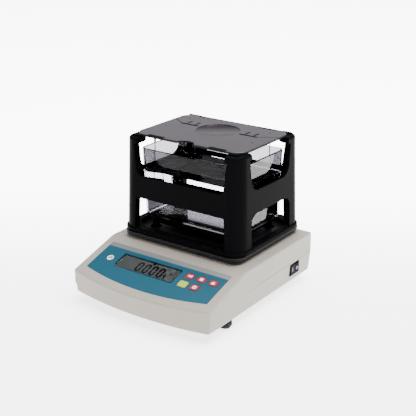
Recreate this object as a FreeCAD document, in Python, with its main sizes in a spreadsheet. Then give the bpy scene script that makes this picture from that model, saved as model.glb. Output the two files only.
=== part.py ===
import FreeCAD, Part
import math
import os
import re
import Sketcher

# Benchtop density meter: a small balance whose pan carries an open frame over a water tank.
# Millimetres, +Z up, +X to the user's right, +Y to the back; the origin lies on the bench
# under the middle of the instrument.

doc = FreeCAD.newDocument("DensityMeter")
sheet = doc.addObject("Spreadsheet::Sheet", "Sizes")

# ---------------------------------------------------------------- driving dimensions
SIZES = {
    # housing
    "housing_width": 195,
    "housing_depth": 228.4,      # from the foremost point of the bow to the back wall
    "front_bow": 11.4,           # how far the front stands out between its corners
    "ground_gap": 12.3,          # bench to underside
    "housing_height": 48.9,
    "front_height": 27.6,        # underside to the upper edge of the front, at the corners
    "slope_run": 70,             # front corners to the level top
    "corner_round": 3,
    "edge_round": 1.8,
    "slope_round": 30,           # where the slope turns into the level top
    "wall": 2.5,
    "seam_front": 11.1,          # underside to the seam, at the front corners
    "seam_rear": 23.9,
    "seam_bend": 104,            # front corners to where the seam turns level
    "seam_gap": 0.4,
    "lip_rise": 1.8,             # tongue inside the seam, above its middle
    "lip_root": 2.6,
    "lip_play": 0.2,
    "lip_wall": 1.1,
    "tub_draft": 1.8,            # how much narrower the tub is at its underside, each side
    "tub_edge": 0.8,
    "plateau_height": 0.8,
    "plateau_inset": 9.5,
    "plateau_front": 74.9,
    "plateau_back": 6.1,
    "plateau_round": 8,
    # cover screws, posts and feet
    "screw_side": 11,            # side wall to screw
    "screw_front": 13,
    "screw_back": 11,
    "post_radius": 3.6,
    "post_foot": 3.5,            # thickness of the tub's bosses under the cover's posts
    "shank_radius": 1.45,
    "screw_fit": 0.08,           # a screw's radial play in its hole
    "head_radius": 2.7,
    "head_height": 1.6,
    "screw_length": 13,
    "sink_depth": 3,             # underside to the seats of the screw heads
    "foot_side": 12.5,           # side wall to the axis of a front foot
    "foot_side_back": 31,
    "foot_front": 47.4,
    "foot_back": 20.1,
    "stud_radius": 3,
    "stud_fit": 0.08,
    "stud_length": 15,
    "nut_flats": 10,
    "nut_height": 5,
    "nut_sunk": 1.3,
    "nut_boss": 7.2,
    "nut_boss_height": 2,
    "knob_radius": 8,
    "knob_height": 5.4,
    "pad_radius": 6.5,
    "pad_height": 3,
    "pad_socket": 1.6,
    "turning_gap": 0.1,
    # sloped panel, in distances up the slope from its lower corners
    "overlay_width": 173,
    "overlay_top": 61,
    "overlay_side": 11,
    "overlay_bow": 11.3,
    "overlay_thickness": 0.6,
    "overlay_recess": 0.5,
    "overlay_round": 1.5,
    "trim_gap": 0.2,
    "lcd_x": -14.5,
    "lcd_up": 36.2,
    "lcd_width": 85,
    "lcd_height": 24,
    "lcd_border": 5,
    "window_thickness": 1.5,
    "window_ledge": 1,
    "window_gap": 0.3,
    "key_x": 41.7,
    "key_up": 42.6,
    "key_pitch": 16.1,
    "key_row": 14.2,
    "key_width": 11.5,
    "key_height": 9.6,
    "key_round": 2,
    "key_proud": 0.6,
    "key_flange": 1,
    "key_plate": 0.8,
    "key_slack": 0.1,
    "key_travel": 0.4,
    "key_gap": 0.3,
    "switch_base": 6,
    "switch_height": 3.4,
    "plunger_radius": 1.7,
    "level_x": -69.5,
    "level_up": 34.7,
    "level_radius": 4.2,
    "level_depth": 7,
    "level_flange": 2,
    "level_rim": 1.5,
    "standoff": 6,               # cover's inside to the display board
    "display_board_width": 158,
    "display_board_height": 42,
    "display_board_up": 36,
    "board_thickness": 1.6,
    "board_screw_inset": 4,
    # main board on the tub floor
    "main_board_x": -50,
    "main_board_y": 42,
    "main_board_width": 64,
    "main_board_depth": 88,
    "main_board_lift": 4,
    "chip_height": 3,
    "ribbon_width": 14,
    "ribbon_thickness": 0.8,
    "ribbon_rise": 4,
    # weighing cell
    "pan_back": 39.8,            # origin to the middle of the pan
    "cell_length": 76,
    "cell_width": 15,
    "cell_height": 22,
    "cell_lift": 6,
    "plinth_height": 3,
    "cell_end": 17,              # length of each solid end of the beam
    "cell_hole": 6.5,
    "cell_hole_apart": 18,
    "cell_slot": 4,
    "cell_screw_radius": 1.95,
    "cell_screw_apart": 9,
    "cell_screw_depth": 10,
    "cell_screw_head": 3.4,
    "cell_head_height": 2.2,
    "stop_radius": 2.4,
    "stop_gap": 0.6,
    "support_width": 56,
    "support_depth": 78,
    "support_round": 6,
    "support_thickness": 3,
    "support_spacer": 3,
    "stem_radius": 8,
    "stem_clearance": 3,
    "spigot_radius": 5,
    "spigot_height": 3.6,
    "spigot_fit": 0.05,
    "pan_gap": 3.6,              # plateau to the underside of the tray
    # tray
    "tray_width": 169,
    "tray_depth": 140.7,
    "tray_round": 13.5,
    "tray_thickness": 4.9,
    "tray_edge": 1.6,
    # measuring frame
    "frame_height": 116,
    "lip_width": 172.6,
    "lip_depth": 141,
    "lip_round": 19,
    "lip_height": 4.5,
    "lip_edge": 1.8,
    "groove_height": 1.5,
    "groove_depth": 2.5,
    "ring_width": 154,           # opening of the frame's foot ring
    "ring_depth": 118,
    "ring_round": 25,
    "foot_width": 169,           # walls, measured at the foot ring
    "foot_depth": 137.4,
    "foot_round": 18,
    "crown_width": 162.2,        # walls, measured at the top
    "crown_depth": 131.2,
    "crown_round": 16.5,
    "frame_wall": 3,
    "column_depth": 8.5,         # front and back columns, inwards; then the same towards a side
    "column_side": 5,
    "belt_low": 44.5,
    "belt_high": 71,
    "front_foot_half": 65,       # half widths of the windows
    "front_low_half": 63,
    "front_high_half": 66,
    "front_sill_half": 61,
    "front_sill_round": 7,
    "side_low_half": 41.7,
    "side_low_round": 12,
    "side_high_half": 43.6,
    "side_sill_half": 38.6,
    "side_sill_round": 12,
    "cap_x": 62,
    "cap_y": 39,
    "cap_round": 13,
    "cap_thickness": 7,
    "cap_edge": 3.5,
    "lug_height": 1.8,
    "lug_width": 3,
    "lug_play": 0.3,
    # measuring board with its basket
    "board_width": 151.4,
    "board_depth": 107.8,
    "board_round": 16,
    "board_height": 2.5,
    "board_edge": 0.6,
    "dish_radius": 27,
    "dish_back": 11.3,
    "dish_sink": 1.4,
    "notch_radius": 12,
    "notch_reach": 10,
    "slot_x": 42,
    "slot_back": 12.3,
    "slot_length": 24,
    "slot_width": 1.5,
    "tick_half": 6,              # slot's middle to each of its two ticks
    "tick_back": 22.5,
    "tick_length": 6,
    "dash_x": 43.5,
    "dash_length": 21,
    "dash_width": 1.5,
    "dash_inset": 1.6,
    "dash_sink": 1.2,
    "rod_x": 55,
    "rod_y": 39.5,
    "rod_radius": 0.6,
    "peg_radius": 1.4,
    "peg_length": 11,
    "rod_nut_radius": 1.5,
    "rod_nut_height": 1.4,
    "basket_width": 114,
    "basket_depth": 83,
    "basket_round": 4,
    "basket_thickness": 1.5,
    "basket_lift": 23.5,         # tank floor to the basket
    "basket_slot": 44,           # length of each slot, then its breadth
    "basket_gap": 5,
    "basket_pitch": 12,
    # tank on its stand
    "stand_width": 126,
    "stand_depth": 86,
    "stand_round": 12,
    "stand_thickness": 4,
    "stand_height": 21.2,
    "stand_rib": 3,
    "leg_x": 56,
    "leg_y": 39,
    "leg_radius": 4.5,
    "leg_clearance": 3,
    "leg_pad_radius": 5.5,
    "leg_pad_height": 1.5,
    "leg_pad_sink": 0.5,
    "tank_width": 142.6,
    "tank_depth": 96.4,
    "tank_height": 86.7,
    "tank_round": 8,
    "tank_draft": 3.5,           # how much narrower the tank is at its floor, each side
    "tank_wall": 2.4,
    "tank_floor": 3.6,
    "tank_bottom_round": 5,
    "tank_rim": 4,               # foot rim round the hollow of its underside
    "tank_hollow": 0.5,
    # rocker switch in the right wall
    "rocker_y": 74.1,
    "rocker_up": 14.8,
    "bezel_length": 21,
    "bezel_height": 15.4,
    "bezel_thickness": 1.6,
    "switch_length": 19.2,
    "switch_breadth": 13.6,
    "switch_depth": 17,
    "rocker_length": 16.4,
    "rocker_breadth": 11,
    "rocker_rise": 2.5,          # wall seat to the rocker's ends when it stands level
    "rocker_dip": 1.8,
    "rocker_pivot": 2,           # how deep the pivot and the belly lie
    "rocker_belly": 5,
    "rocker_pin": 1,
    "rocker_play": 0.5,
    "rocker_tilt": 7,
    "wall_seat": 1.3,            # wall to the flat seats of the switch and the sockets
    # sockets in the back wall
    "socket_up": 9.5,
    "inlet_x": 48,
    "inlet_radius": 5.5,
    "inlet_flange": 7,
    "inlet_flange_height": 1.2,
    "inlet_length": 14,
    "inlet_bore": 2.8,
    "inlet_bore_depth": 9.5,
    "inlet_pin": 1,
    "port_x": -48,
    "port_width": 17,
    "port_height": 8.4,
    "port_slant": 1.5,
    "port_length": 2.6,
    "port_shell": 0.6,
    "port_flange_width": 31,
    "port_flange_height": 12.4,
    "port_flange_thickness": 1,
    "port_body_depth": 8,
    "port_screw_apart": 25,
    "port_nut_flats": 4.8,
    "port_nut_height": 2.2,
    "hole_play": 0.2,
}

DERIVED = {
    "front_y": "front_bow - housing_depth / 2",
    "rear_y": "housing_depth / 2",
    "side_x": "housing_width / 2",
    "floor_z": "ground_gap + wall",
    "top_z": "ground_gap + housing_height",
    "front_z": "ground_gap + front_height",
    "seam_z": "ground_gap + seam_rear",
    "plateau_z": "top_z + plateau_height",
    "slope_tilt": "atan((housing_height - front_height) / slope_run)",
    "tray_z": "plateau_z + pan_gap",
    "frame_z": "tray_z + tray_thickness",
    "board_z": "frame_z + frame_height",
    "stand_z": "plateau_z + stand_height",
    "cell_z": "floor_z + cell_lift",
    "cell_top": "cell_z + cell_height",
    "basket_z": "stand_z + tank_floor + basket_lift",
    "board_under": "wall + standoff",
}


def write_sheet():
    """One row for each driving size, then one for each size worked out from them."""
    row = 0
    for words, number in SIZES.items():
        row += 1
        sheet.set("A%d" % row, str(number))
        sheet.setAlias("A%d" % row, words)
        sheet.set("B%d" % row, words.replace("_", " "))
    for words, formula in DERIVED.items():
        row += 1
        sheet.set("A%d" % row, "=" + formula)
        sheet.setAlias("A%d" % row, words)
        sheet.set("B%d" % row, words.replace("_", " "))
    doc.recompute()


write_sheet()
ALIAS = re.compile(r"\b(%s)\b" % "|".join(list(SIZES) + list(DERIVED)))


def cells(formula):
    """The formula with each size looked up in the sheet."""
    return ALIAS.sub(r"Sizes.\1", str(formula))


def value(formula):
    """The formula's number, for drawing a sketch near its final shape."""
    found = sheet.evalExpression(cells(formula))
    return float(getattr(found, "Value", found))


# ---------------------------------------------------------------- drawing and features
def body(label):
    made = doc.addObject("PartDesign::Body", label)
    made.Label = label
    return made


def sketch(owner, name, plane="XY_Plane", lift="0"):
    """An empty sketch on one of the body's origin planes, moved along its normal."""
    face = [item for item in owner.Origin.OriginFeatures if item.Role == plane][0]
    drawn = owner.newObject("Sketcher::SketchObject", name)
    drawn.AttachmentSupport = [(face, "")]
    drawn.MapMode = "FlatFace"
    drawn.setExpression("AttachmentOffset.Base.z", cells(lift))
    return drawn


def pin(drawn, shape, point, x, y):
    """Hold one point of the sketch at the place that two formulas give."""
    for kind, formula in (("DistanceX", x), ("DistanceY", y)):
        rule = Sketcher.Constraint(kind, -1, 1, shape, point, value(formula))
        drawn.setExpression("Constraints[%d]" % drawn.addConstraint(rule), cells(formula))


def spot(x, y):
    return FreeCAD.Vector(value(x), value(y), 0)


def arc_through(start, middle, end):
    """An arc for a sketch, and whether it runs from end to start."""
    circle = Part.Circle(start, middle, end)
    angle = lambda point: math.atan2(point.y - circle.Center.y, point.x - circle.Center.x)
    turn = (middle - start).cross(end - middle).z
    first, last = (start, end) if turn > 0 else (end, start)
    upright = Part.Circle(circle.Center, FreeCAD.Vector(0, 0, 1), circle.Radius)
    low, high = angle(first), angle(last)
    return Part.ArcOfCircle(upright, low, high if high > low else high + 2 * math.pi), turn < 0


def outline(drawn, corners, through=None):
    """A closed outline; a side named in through is an arc through that point."""
    through = through or {}
    count = len(corners)
    first = drawn.GeometryCount
    flipped = []
    for side in range(count):
        start, end = spot(*corners[side]), spot(*corners[(side + 1) % count])
        if side in through:
            arc, backwards = arc_through(start, spot(*through[side]), end)
            drawn.addGeometry(arc)
        else:
            backwards = False
            drawn.addGeometry(Part.LineSegment(start, end))
        flipped.append(backwards)
    for side in range(count):
        after = (side + 1) % count
        ends = (1 if flipped[side] else 2, 2 if flipped[after] else 1)
        drawn.addConstraint(
            Sketcher.Constraint("Coincident", first + side, ends[0], first + after, ends[1])
        )
        pin(drawn, first + side, 2 if flipped[side] else 1, *corners[side])
    for side, place in through.items():
        mark = drawn.addGeometry(Part.Point(spot(*place)), True)
        pin(drawn, mark, 1, *place)
        drawn.addConstraint(Sketcher.Constraint("PointOnObject", mark, 1, first + side))


def rectangle(drawn, left, low, right, high):
    outline(drawn, [(left, low), (right, low), (right, high), (left, high)])


def centred(drawn, width, depth, x="0", y="0"):
    rectangle(
        drawn,
        "%s - (%s) / 2" % (x, width),
        "%s - (%s) / 2" % (y, depth),
        "%s + (%s) / 2" % (x, width),
        "%s + (%s) / 2" % (y, depth),
    )


def rounded(drawn, width, depth, radius, x="0", y="0"):
    """A rectangle about a middle point, with tangent corner arcs."""
    half_x, half_y, turn = value(width) / 2, value(depth) / 2, value(radius)
    middle = spot(x, y)
    first = drawn.GeometryCount
    ways = ((1, -1), (1, 1), (-1, 1), (-1, -1))
    for index, (to_x, to_y) in enumerate(ways):
        start_angle = (index - 1) * math.pi / 2
        centre = middle + FreeCAD.Vector(to_x * (half_x - turn), to_y * (half_y - turn), 0)
        circle = Part.Circle(centre, FreeCAD.Vector(0, 0, 1), turn)
        drawn.addGeometry(Part.ArcOfCircle(circle, start_angle, start_angle + math.pi / 2))
        next_x, next_y = ways[(index + 1) % 4]
        begin = centre + turn * FreeCAD.Vector(
            math.cos(start_angle + math.pi / 2), math.sin(start_angle + math.pi / 2), 0
        )
        far = middle + FreeCAD.Vector(next_x * (half_x - turn), next_y * (half_y - turn), 0)
        end = far + (begin - centre)
        drawn.addGeometry(Part.LineSegment(begin, end))
    for index in range(4):
        arc, line, after = first + 2 * index, first + 2 * index + 1, first + (2 * index + 2) % 8
        drawn.addConstraint(Sketcher.Constraint("Tangent", arc, 2, line, 1))
        drawn.addConstraint(Sketcher.Constraint("Tangent", line, 2, after, 1))
        if index:
            drawn.addConstraint(Sketcher.Constraint("Equal", first, arc))
        to_x, to_y = ways[index]
        pin(
            drawn,
            arc,
            3,
            "%s + (%d) * ((%s) / 2 - (%s))" % (x, to_x, width, radius),
            "%s + (%d) * ((%s) / 2 - (%s))" % (y, to_y, depth, radius),
        )
    rule = Sketcher.Constraint("Radius", first, turn)
    drawn.setExpression("Constraints[%d]" % drawn.addConstraint(rule), cells(radius))


def circles(drawn, places, radius):
    for x, y in places:
        centre = spot(x, y)
        circle = Part.Circle(centre, FreeCAD.Vector(0, 0, 1), value(radius))
        shape = drawn.addGeometry(circle)
        rule = Sketcher.Constraint("Radius", shape, value(radius))
        drawn.setExpression("Constraints[%d]" % drawn.addConstraint(rule), cells(radius))
        pin(drawn, shape, 3, x, y)


def hexagon(drawn, x, y, flats):
    """A hexagon with two corners on the local X axis."""
    corners = []
    for index in range(6):
        turn = "%d" % (60 * index)
        corners.append(
            (
                "%s + (%s) / sqrt(3) * cos(%s deg)" % (x, flats, turn),
                "%s + (%s) / sqrt(3) * sin(%s deg)" % (y, flats, turn),
            )
        )
    outline(drawn, corners)


def pad(owner, drawn, length, down=False, both=False):
    feature = owner.newObject("PartDesign::Pad", "Pad")
    feature.Profile = drawn
    feature.setExpression("Length", cells(length))
    feature.Reversed = down
    feature.Midplane = both
    return feature


def pocket(owner, drawn, length=None, up=False, both=False):
    """A cut against the sketch's normal, or along it; right through without a length."""
    feature = owner.newObject("PartDesign::Pocket", "Pocket")
    feature.Profile = drawn
    if length is None:
        feature.Type = "ThroughAll"
    else:
        feature.setExpression("Length", cells(length))
    feature.Reversed = up
    feature.Midplane = both
    return feature


def loft(owner, kind, lower, upper):
    feature = owner.newObject("PartDesign::" + kind, kind)
    feature.Profile = lower
    feature.Sections = [upper]
    feature.Ruled = True
    return feature


def turned(owner, kind, drawn):
    """A full turn of the sketch about its own vertical axis."""
    feature = owner.newObject("PartDesign::" + kind, kind)
    feature.Profile = drawn
    feature.ReferenceAxis = (drawn, ["V_Axis"])
    feature.Angle = 360
    return feature


def soften(owner, base, radius, chosen, kind="Fillet"):
    """Round, or chamfer, those edges of the base feature that the test picks."""
    doc.recompute()
    shape = base.Shape
    names = ["Edge%d" % (n + 1) for n, edge in enumerate(shape.Edges) if chosen(shape, edge)]
    if not names:
        raise RuntimeError("no edge picked on %s" % base.Label)
    feature = owner.newObject("PartDesign::" + kind, kind)
    feature.Base = (base, names)
    feature.setExpression("Radius" if kind == "Fillet" else "Size", cells(radius))
    return feature


def middle_of(edge):
    return edge.valueAt((edge.FirstParameter + edge.LastParameter) / 2)


def along(edge, way):
    """Whether an edge is straight and runs nearly the given way."""
    if len(edge.Vertexes) < 2:
        return False
    reach = edge.Vertexes[-1].Point - edge.Vertexes[0].Point
    return abs(reach.dot(way)) > 0.9 * edge.Length


def upright(shape, edge):
    """A straight edge that climbs: the corner of a wall, drafted or not."""
    return along(edge, FreeCAD.Vector(0, 0, 1))


def at_height(formula, outer=None):
    """Edges that lie level at one height, within a reach of the pan's middle if given."""

    def test(shape, edge):
        box = edge.BoundBox
        level = value(formula)
        if abs(box.ZMin - level) > 1e-4 or abs(box.ZMax - level) > 1e-4:
            return False
        return outer is None or outer(middle_of(edge))

    return test


def rim(shape, edge):
    """An edge between an upper face and a wall."""
    slopes = []
    for face in shape.ancestorsOfType(edge, Part.Face):
        low_u, high_u, low_v, high_v = face.ParameterRange
        slopes.append(face.normalAt((low_u + high_u) / 2, (low_v + high_v) / 2).z)
    return len(slopes) == 2 and max(slopes) > 0.5 and abs(min(slopes)) < 0.2


def part_cut(label, base, tool):
    made = doc.addObject("Part::Cut", label)
    made.Label = label
    made.Base, made.Tool = base, tool
    return made


def part_common(label, base, tool):
    made = doc.addObject("Part::Common", label)
    made.Label = label
    made.Base, made.Tool = base, tool
    return made


def part_fuse(label, shapes):
    made = doc.addObject("Part::MultiFuse", label)
    made.Label = label
    made.Shapes = shapes
    return made


def on_slope(owner):
    """Stand a body on the slope: its X along the front, its Y up the slope, its Z outwards."""
    turn = FreeCAD.Rotation(FreeCAD.Vector(1, 0, 0), value("slope_tilt"))
    owner.Placement = FreeCAD.Placement(FreeCAD.Vector(0, 0, 0), turn)
    owner.setExpression("Placement.Base.y", cells("front_y"))
    owner.setExpression("Placement.Base.z", cells("front_z"))
    owner.setExpression("Placement.Rotation.Angle", cells("slope_tilt"))
    return owner


def four(x, y, about_y="0"):
    """The four places that mirror one another about the middle."""
    return [
        ("(%d) * (%s)" % (to_x, x), "%s + (%d) * (%s)" % (about_y, to_y, y))
        for to_x in (-1, 1)
        for to_y in (-1, 1)
    ]


NODES = []


def keep(made):
    NODES.append(made)
    return made


PAN = dict(x="0", y="pan_back")
COVER_SCREWS = [
    ("(%d) * (side_x - screw_side)" % side, row)
    for side in (-1, 1)
    for row in ("front_y + screw_front", "rear_y - screw_back")
]
FOOT_NAMES = ("front_left", "back_left", "front_right", "back_right")
FEET = [
    ("(%d) * (side_x - %s)" % (side, inset), row)
    for side in (-1, 1)
    for inset, row in (
        ("foot_side", "front_y + foot_front"),
        ("foot_side_back", "rear_y - foot_back"),
    )
]
KEYS = [
    ("key_x", "key_up"),
    ("key_x + key_pitch", "key_up"),
    ("key_x + 2 * key_pitch", "key_up"),
    ("key_x", "key_up - key_row"),
    ("key_x + key_pitch", "key_up - key_row"),
]
BOARD_SCREWS = four(
    "display_board_width / 2 - board_screw_inset",
    "display_board_height / 2 - board_screw_inset",
    "display_board_up",
)
MAIN_SCREWS = [
    ("main_board_x + " + x, y)
    for x, y in four(
        "main_board_width / 2 - board_screw_inset",
        "main_board_depth / 2 - board_screw_inset",
        "main_board_y",
    )
]
LEGS = four("leg_x", "leg_y", "pan_back")
BOARD_Z = "floor_z + main_board_lift"
STOP = ("0", "pan_back - (cell_length - cell_end) / 2")
CELL_SCREWS = [
    ("0", "pan_back + (cell_length - cell_end) / 2 + (%d) * cell_screw_apart / 2" % way)
    for way in (-1, 1)
]
ARM_SCREWS = [
    ("0", "pan_back - (cell_length - cell_end) / 2 + (%d) * cell_screw_apart / 2" % way)
    for way in (-1, 1)
]
SOCKET_Z = "ground_gap + socket_up"
PORT_SCREWS = [("port_x + (%d) * port_screw_apart / 2" % side, SOCKET_Z) for side in (-1, 1)]
SWITCH = ("rocker_y", "ground_gap + rocker_up")


# ---------------------------------------------------------------- housing
def plan(drawn, inset):
    """The housing seen from above, with its bowed front, moved in by a distance."""
    side, front, back = "side_x - (%s)" % inset, "front_y + (%s)" % inset, "rear_y - (%s)" % inset
    corners = [("-(%s)" % side, front), (side, front), (side, back), ("-(%s)" % side, back)]
    outline(drawn, corners, {0: ("0", "front_y - front_bow + (%s)" % inset)})


def slope_line(y, depth):
    """Height of the sloped panel at a distance y, lowered square to itself by a depth."""
    return "front_z + (%s - front_y) * tan(slope_tilt) - (%s) / cos(slope_tilt)" % (y, depth)


def cover_form(label, inset, low, high):
    """A bowed block with the slope cut away; its upper edges are rounded on the outside only."""
    owner = body(label)
    drawn = sketch(owner, label + "Plan", lift=low)
    plan(drawn, inset)
    pad(owner, drawn, "%s - (%s)" % (high, low))
    drawn = sketch(owner, label + "Slope", "YZ_Plane")
    before, above = "front_y - 2 * front_bow", "top_z + wall"
    reach = "front_y + slope_run + (wall + (%s) / cos(slope_tilt)) / tan(slope_tilt)" % inset
    outline(drawn, [(before, slope_line(before, inset)), (reach, above), (before, above)])
    cut = pocket(owner, drawn, "housing_width", both=True)

    def crest(shape, edge):
        middle = middle_of(edge)
        level = abs(middle.z - value(high)) < 1e-4
        return level and 0 > middle.y > value("front_y") and along(edge, FreeCAD.Vector(1, 0, 0))

    cut = soften(owner, cut, "slope_round - (%s)" % inset, crest)
    cut = soften(owner, cut, "corner_round - (%s)" % inset, upright)
    if inset == "0":
        soften(owner, cut, "edge_round", rim)
    return owner


def seam_form(label, below):
    """Everything on one side of the seam, which climbs along the sides of the housing."""
    owner = body(label)
    drawn = sketch(owner, label + "Side", "YZ_Plane")
    shift = "seam_gap / 2" if below else "-(seam_gap / 2)"
    far = "ground_gap - wall" if below else "top_z + 2 * wall"
    low, high = "ground_gap + seam_front + " + shift, "seam_z + " + shift
    before, behind = "front_y - 2 * front_bow", "rear_y + 2 * wall"
    bend = "front_y + seam_bend"
    line = [(before, low), ("front_y", low), (bend, high), (behind, high)]
    outline(drawn, line + [(behind, far), (before, far)])
    pad(owner, drawn, "housing_width + 4 * wall", both=True)
    return owner


def overlay_outline(drawn, grow):
    side, top = "overlay_width / 2 + (%s)" % grow, "overlay_top + (%s)" % grow
    low = "overlay_side - (%s)" % grow
    corners = [("-(%s)" % side, low), (side, low), (side, top), ("-(%s)" % side, top)]
    outline(drawn, corners, {0: ("0", "overlay_side - overlay_bow - (%s)" % grow)})


def key_windows(drawn, gap):
    for x, y in KEYS:
        wide, high = "key_width + 2 * (%s)" % gap, "key_height + 2 * (%s)" % gap
        rounded(drawn, wide, high, "key_round + (%s)" % gap, x, y)


def top_cover():
    form = cover_form("CoverForm", "0", "floor_z + post_foot", "top_z")
    drawn = sketch(form, "Plateau", lift="top_z - wall")
    deep = "housing_depth - front_bow - plateau_front - plateau_back"
    middle = "rear_y - plateau_back - (%s) / 2" % deep
    rounded(drawn, "housing_width - 2 * plateau_inset", deep, "plateau_round", "0", middle)
    plateau = pad(form, drawn, "wall + plateau_height")
    soften(form, plateau, "plateau_height / 2", at_height("plateau_z"), "Chamfer")
    hollow = cover_form("CoverHollow", "wall", "floor_z", "top_z - wall")

    posts = body("CoverPosts")
    drawn = sketch(posts, "CoverPostRings", lift="floor_z + post_foot")
    circles(drawn, COVER_SCREWS, "post_radius")
    pad(posts, drawn, "top_z - floor_z - post_foot - wall / 2")
    hangers = on_slope(body("PanelPosts"))
    drawn = sketch(hangers, "PanelPostRings", lift="-board_under")
    circles(drawn, BOARD_SCREWS, "post_radius - wall / 4")
    pad(hangers, drawn, "board_under - wall / 2")
    pillars = part_fuse("CoverPillars", [posts, hangers])

    shell = part_cut("CoverShell", form, part_cut("CoverRoom", hollow, pillars))
    trimmed = part_cut("CoverTrimmed", shell, part_cut("CoverBelow", seam_form("Below", True), pillars))

    slots = on_slope(body("PanelOpenings"))
    drawn = sketch(slots, "OverlayRecess", lift="-overlay_recess")
    overlay_outline(drawn, "trim_gap")
    recess = pad(slots, drawn, "2 * wall")
    soften(slots, recess, "overlay_round + trim_gap", upright)
    drawn = sketch(slots, "WindowRebate", lift="-(window_thickness + overlay_recess / 4)")
    rounded(drawn, "lcd_width", "lcd_height", "key_round", "lcd_x", "lcd_up")
    pad(slots, drawn, "wall")
    drawn = sketch(slots, "WindowOpening", lift="-2 * wall")
    inner_wide, inner_high = "lcd_width - 2 * window_ledge", "lcd_height - 2 * window_ledge"
    rounded(drawn, inner_wide, inner_high, "window_ledge", "lcd_x", "lcd_up")
    key_windows(drawn, "key_gap")
    circles(drawn, [("level_x", "level_up")], "level_radius + trim_gap")
    pad(slots, drawn, "3 * wall")
    drawn = sketch(slots, "PanelPilots", lift="-board_under - wall / 2")
    circles(drawn, BOARD_SCREWS, "shank_radius - wall / 10 + screw_fit")
    pad(slots, drawn, "standoff + wall / 2")

    holes = body("CoverOpenings")
    drawn = sketch(holes, "StemHole", lift="top_z - 2 * wall")
    circles(drawn, [("0", "pan_back")], "stem_radius + stem_clearance")
    pad(holes, drawn, "4 * wall")
    drawn = sketch(holes, "LegSeats", lift="plateau_z - leg_pad_sink")
    circles(drawn, LEGS, "leg_pad_radius + 2 * trim_gap")
    pad(holes, drawn, "wall")
    drawn = sketch(holes, "CoverPilots", lift="floor_z")
    circles(drawn, COVER_SCREWS, "shank_radius + screw_fit")
    pad(holes, drawn, "screw_length + post_foot")
    return keep(part_cut("top_cover", trimmed, part_fuse("CoverCuts", [slots, holes])))


def tub_form(label, inset, low):
    """A tapered block, widest at the seam, with rounded corners."""
    owner = body(label)
    drawn = sketch(owner, label + "Plan", lift="seam_z")
    plan(drawn, inset)
    walls = pad(owner, drawn, "seam_z - (%s)" % low, down=True)
    walls.setExpression("TaperAngle", "-" + cells("atan(tub_draft / seam_rear)"))
    soften(owner, walls, "corner_round - (%s)" % inset, upright)
    return owner


def seam_band(label, outer, inner, reach):
    """A thin wall that follows the seam inside the housing and climbs over it by a reach."""
    ring = body(label)
    drawn = sketch(ring, label + "Plan", lift="floor_z")
    plan(drawn, outer)
    wall_pad = pad(ring, drawn, "top_z - floor_z")
    drawn = sketch(ring, label + "Room", lift="floor_z")
    plan(drawn, inner)
    pocket(ring, drawn, up=True)
    strip = body(label + "Strip")
    drawn = sketch(strip, label + "Side", "YZ_Plane")
    before, behind, bend = "front_y - 2 * front_bow", "rear_y + 2 * wall", "front_y + seam_bend"
    line = [(before, "ground_gap + seam_front"), ("front_y", "ground_gap + seam_front")]
    line += [(bend, "seam_z"), (behind, "seam_z")]
    upper = [(y, "%s + %s" % (z, reach)) for y, z in line]
    lower = [(y, "%s - lip_root" % z) for y, z in reversed(line)]
    outline(drawn, upper + lower)
    pad(strip, drawn, "housing_width + 4 * wall", both=True)
    return part_common(label + "Band", ring, strip)


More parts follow.
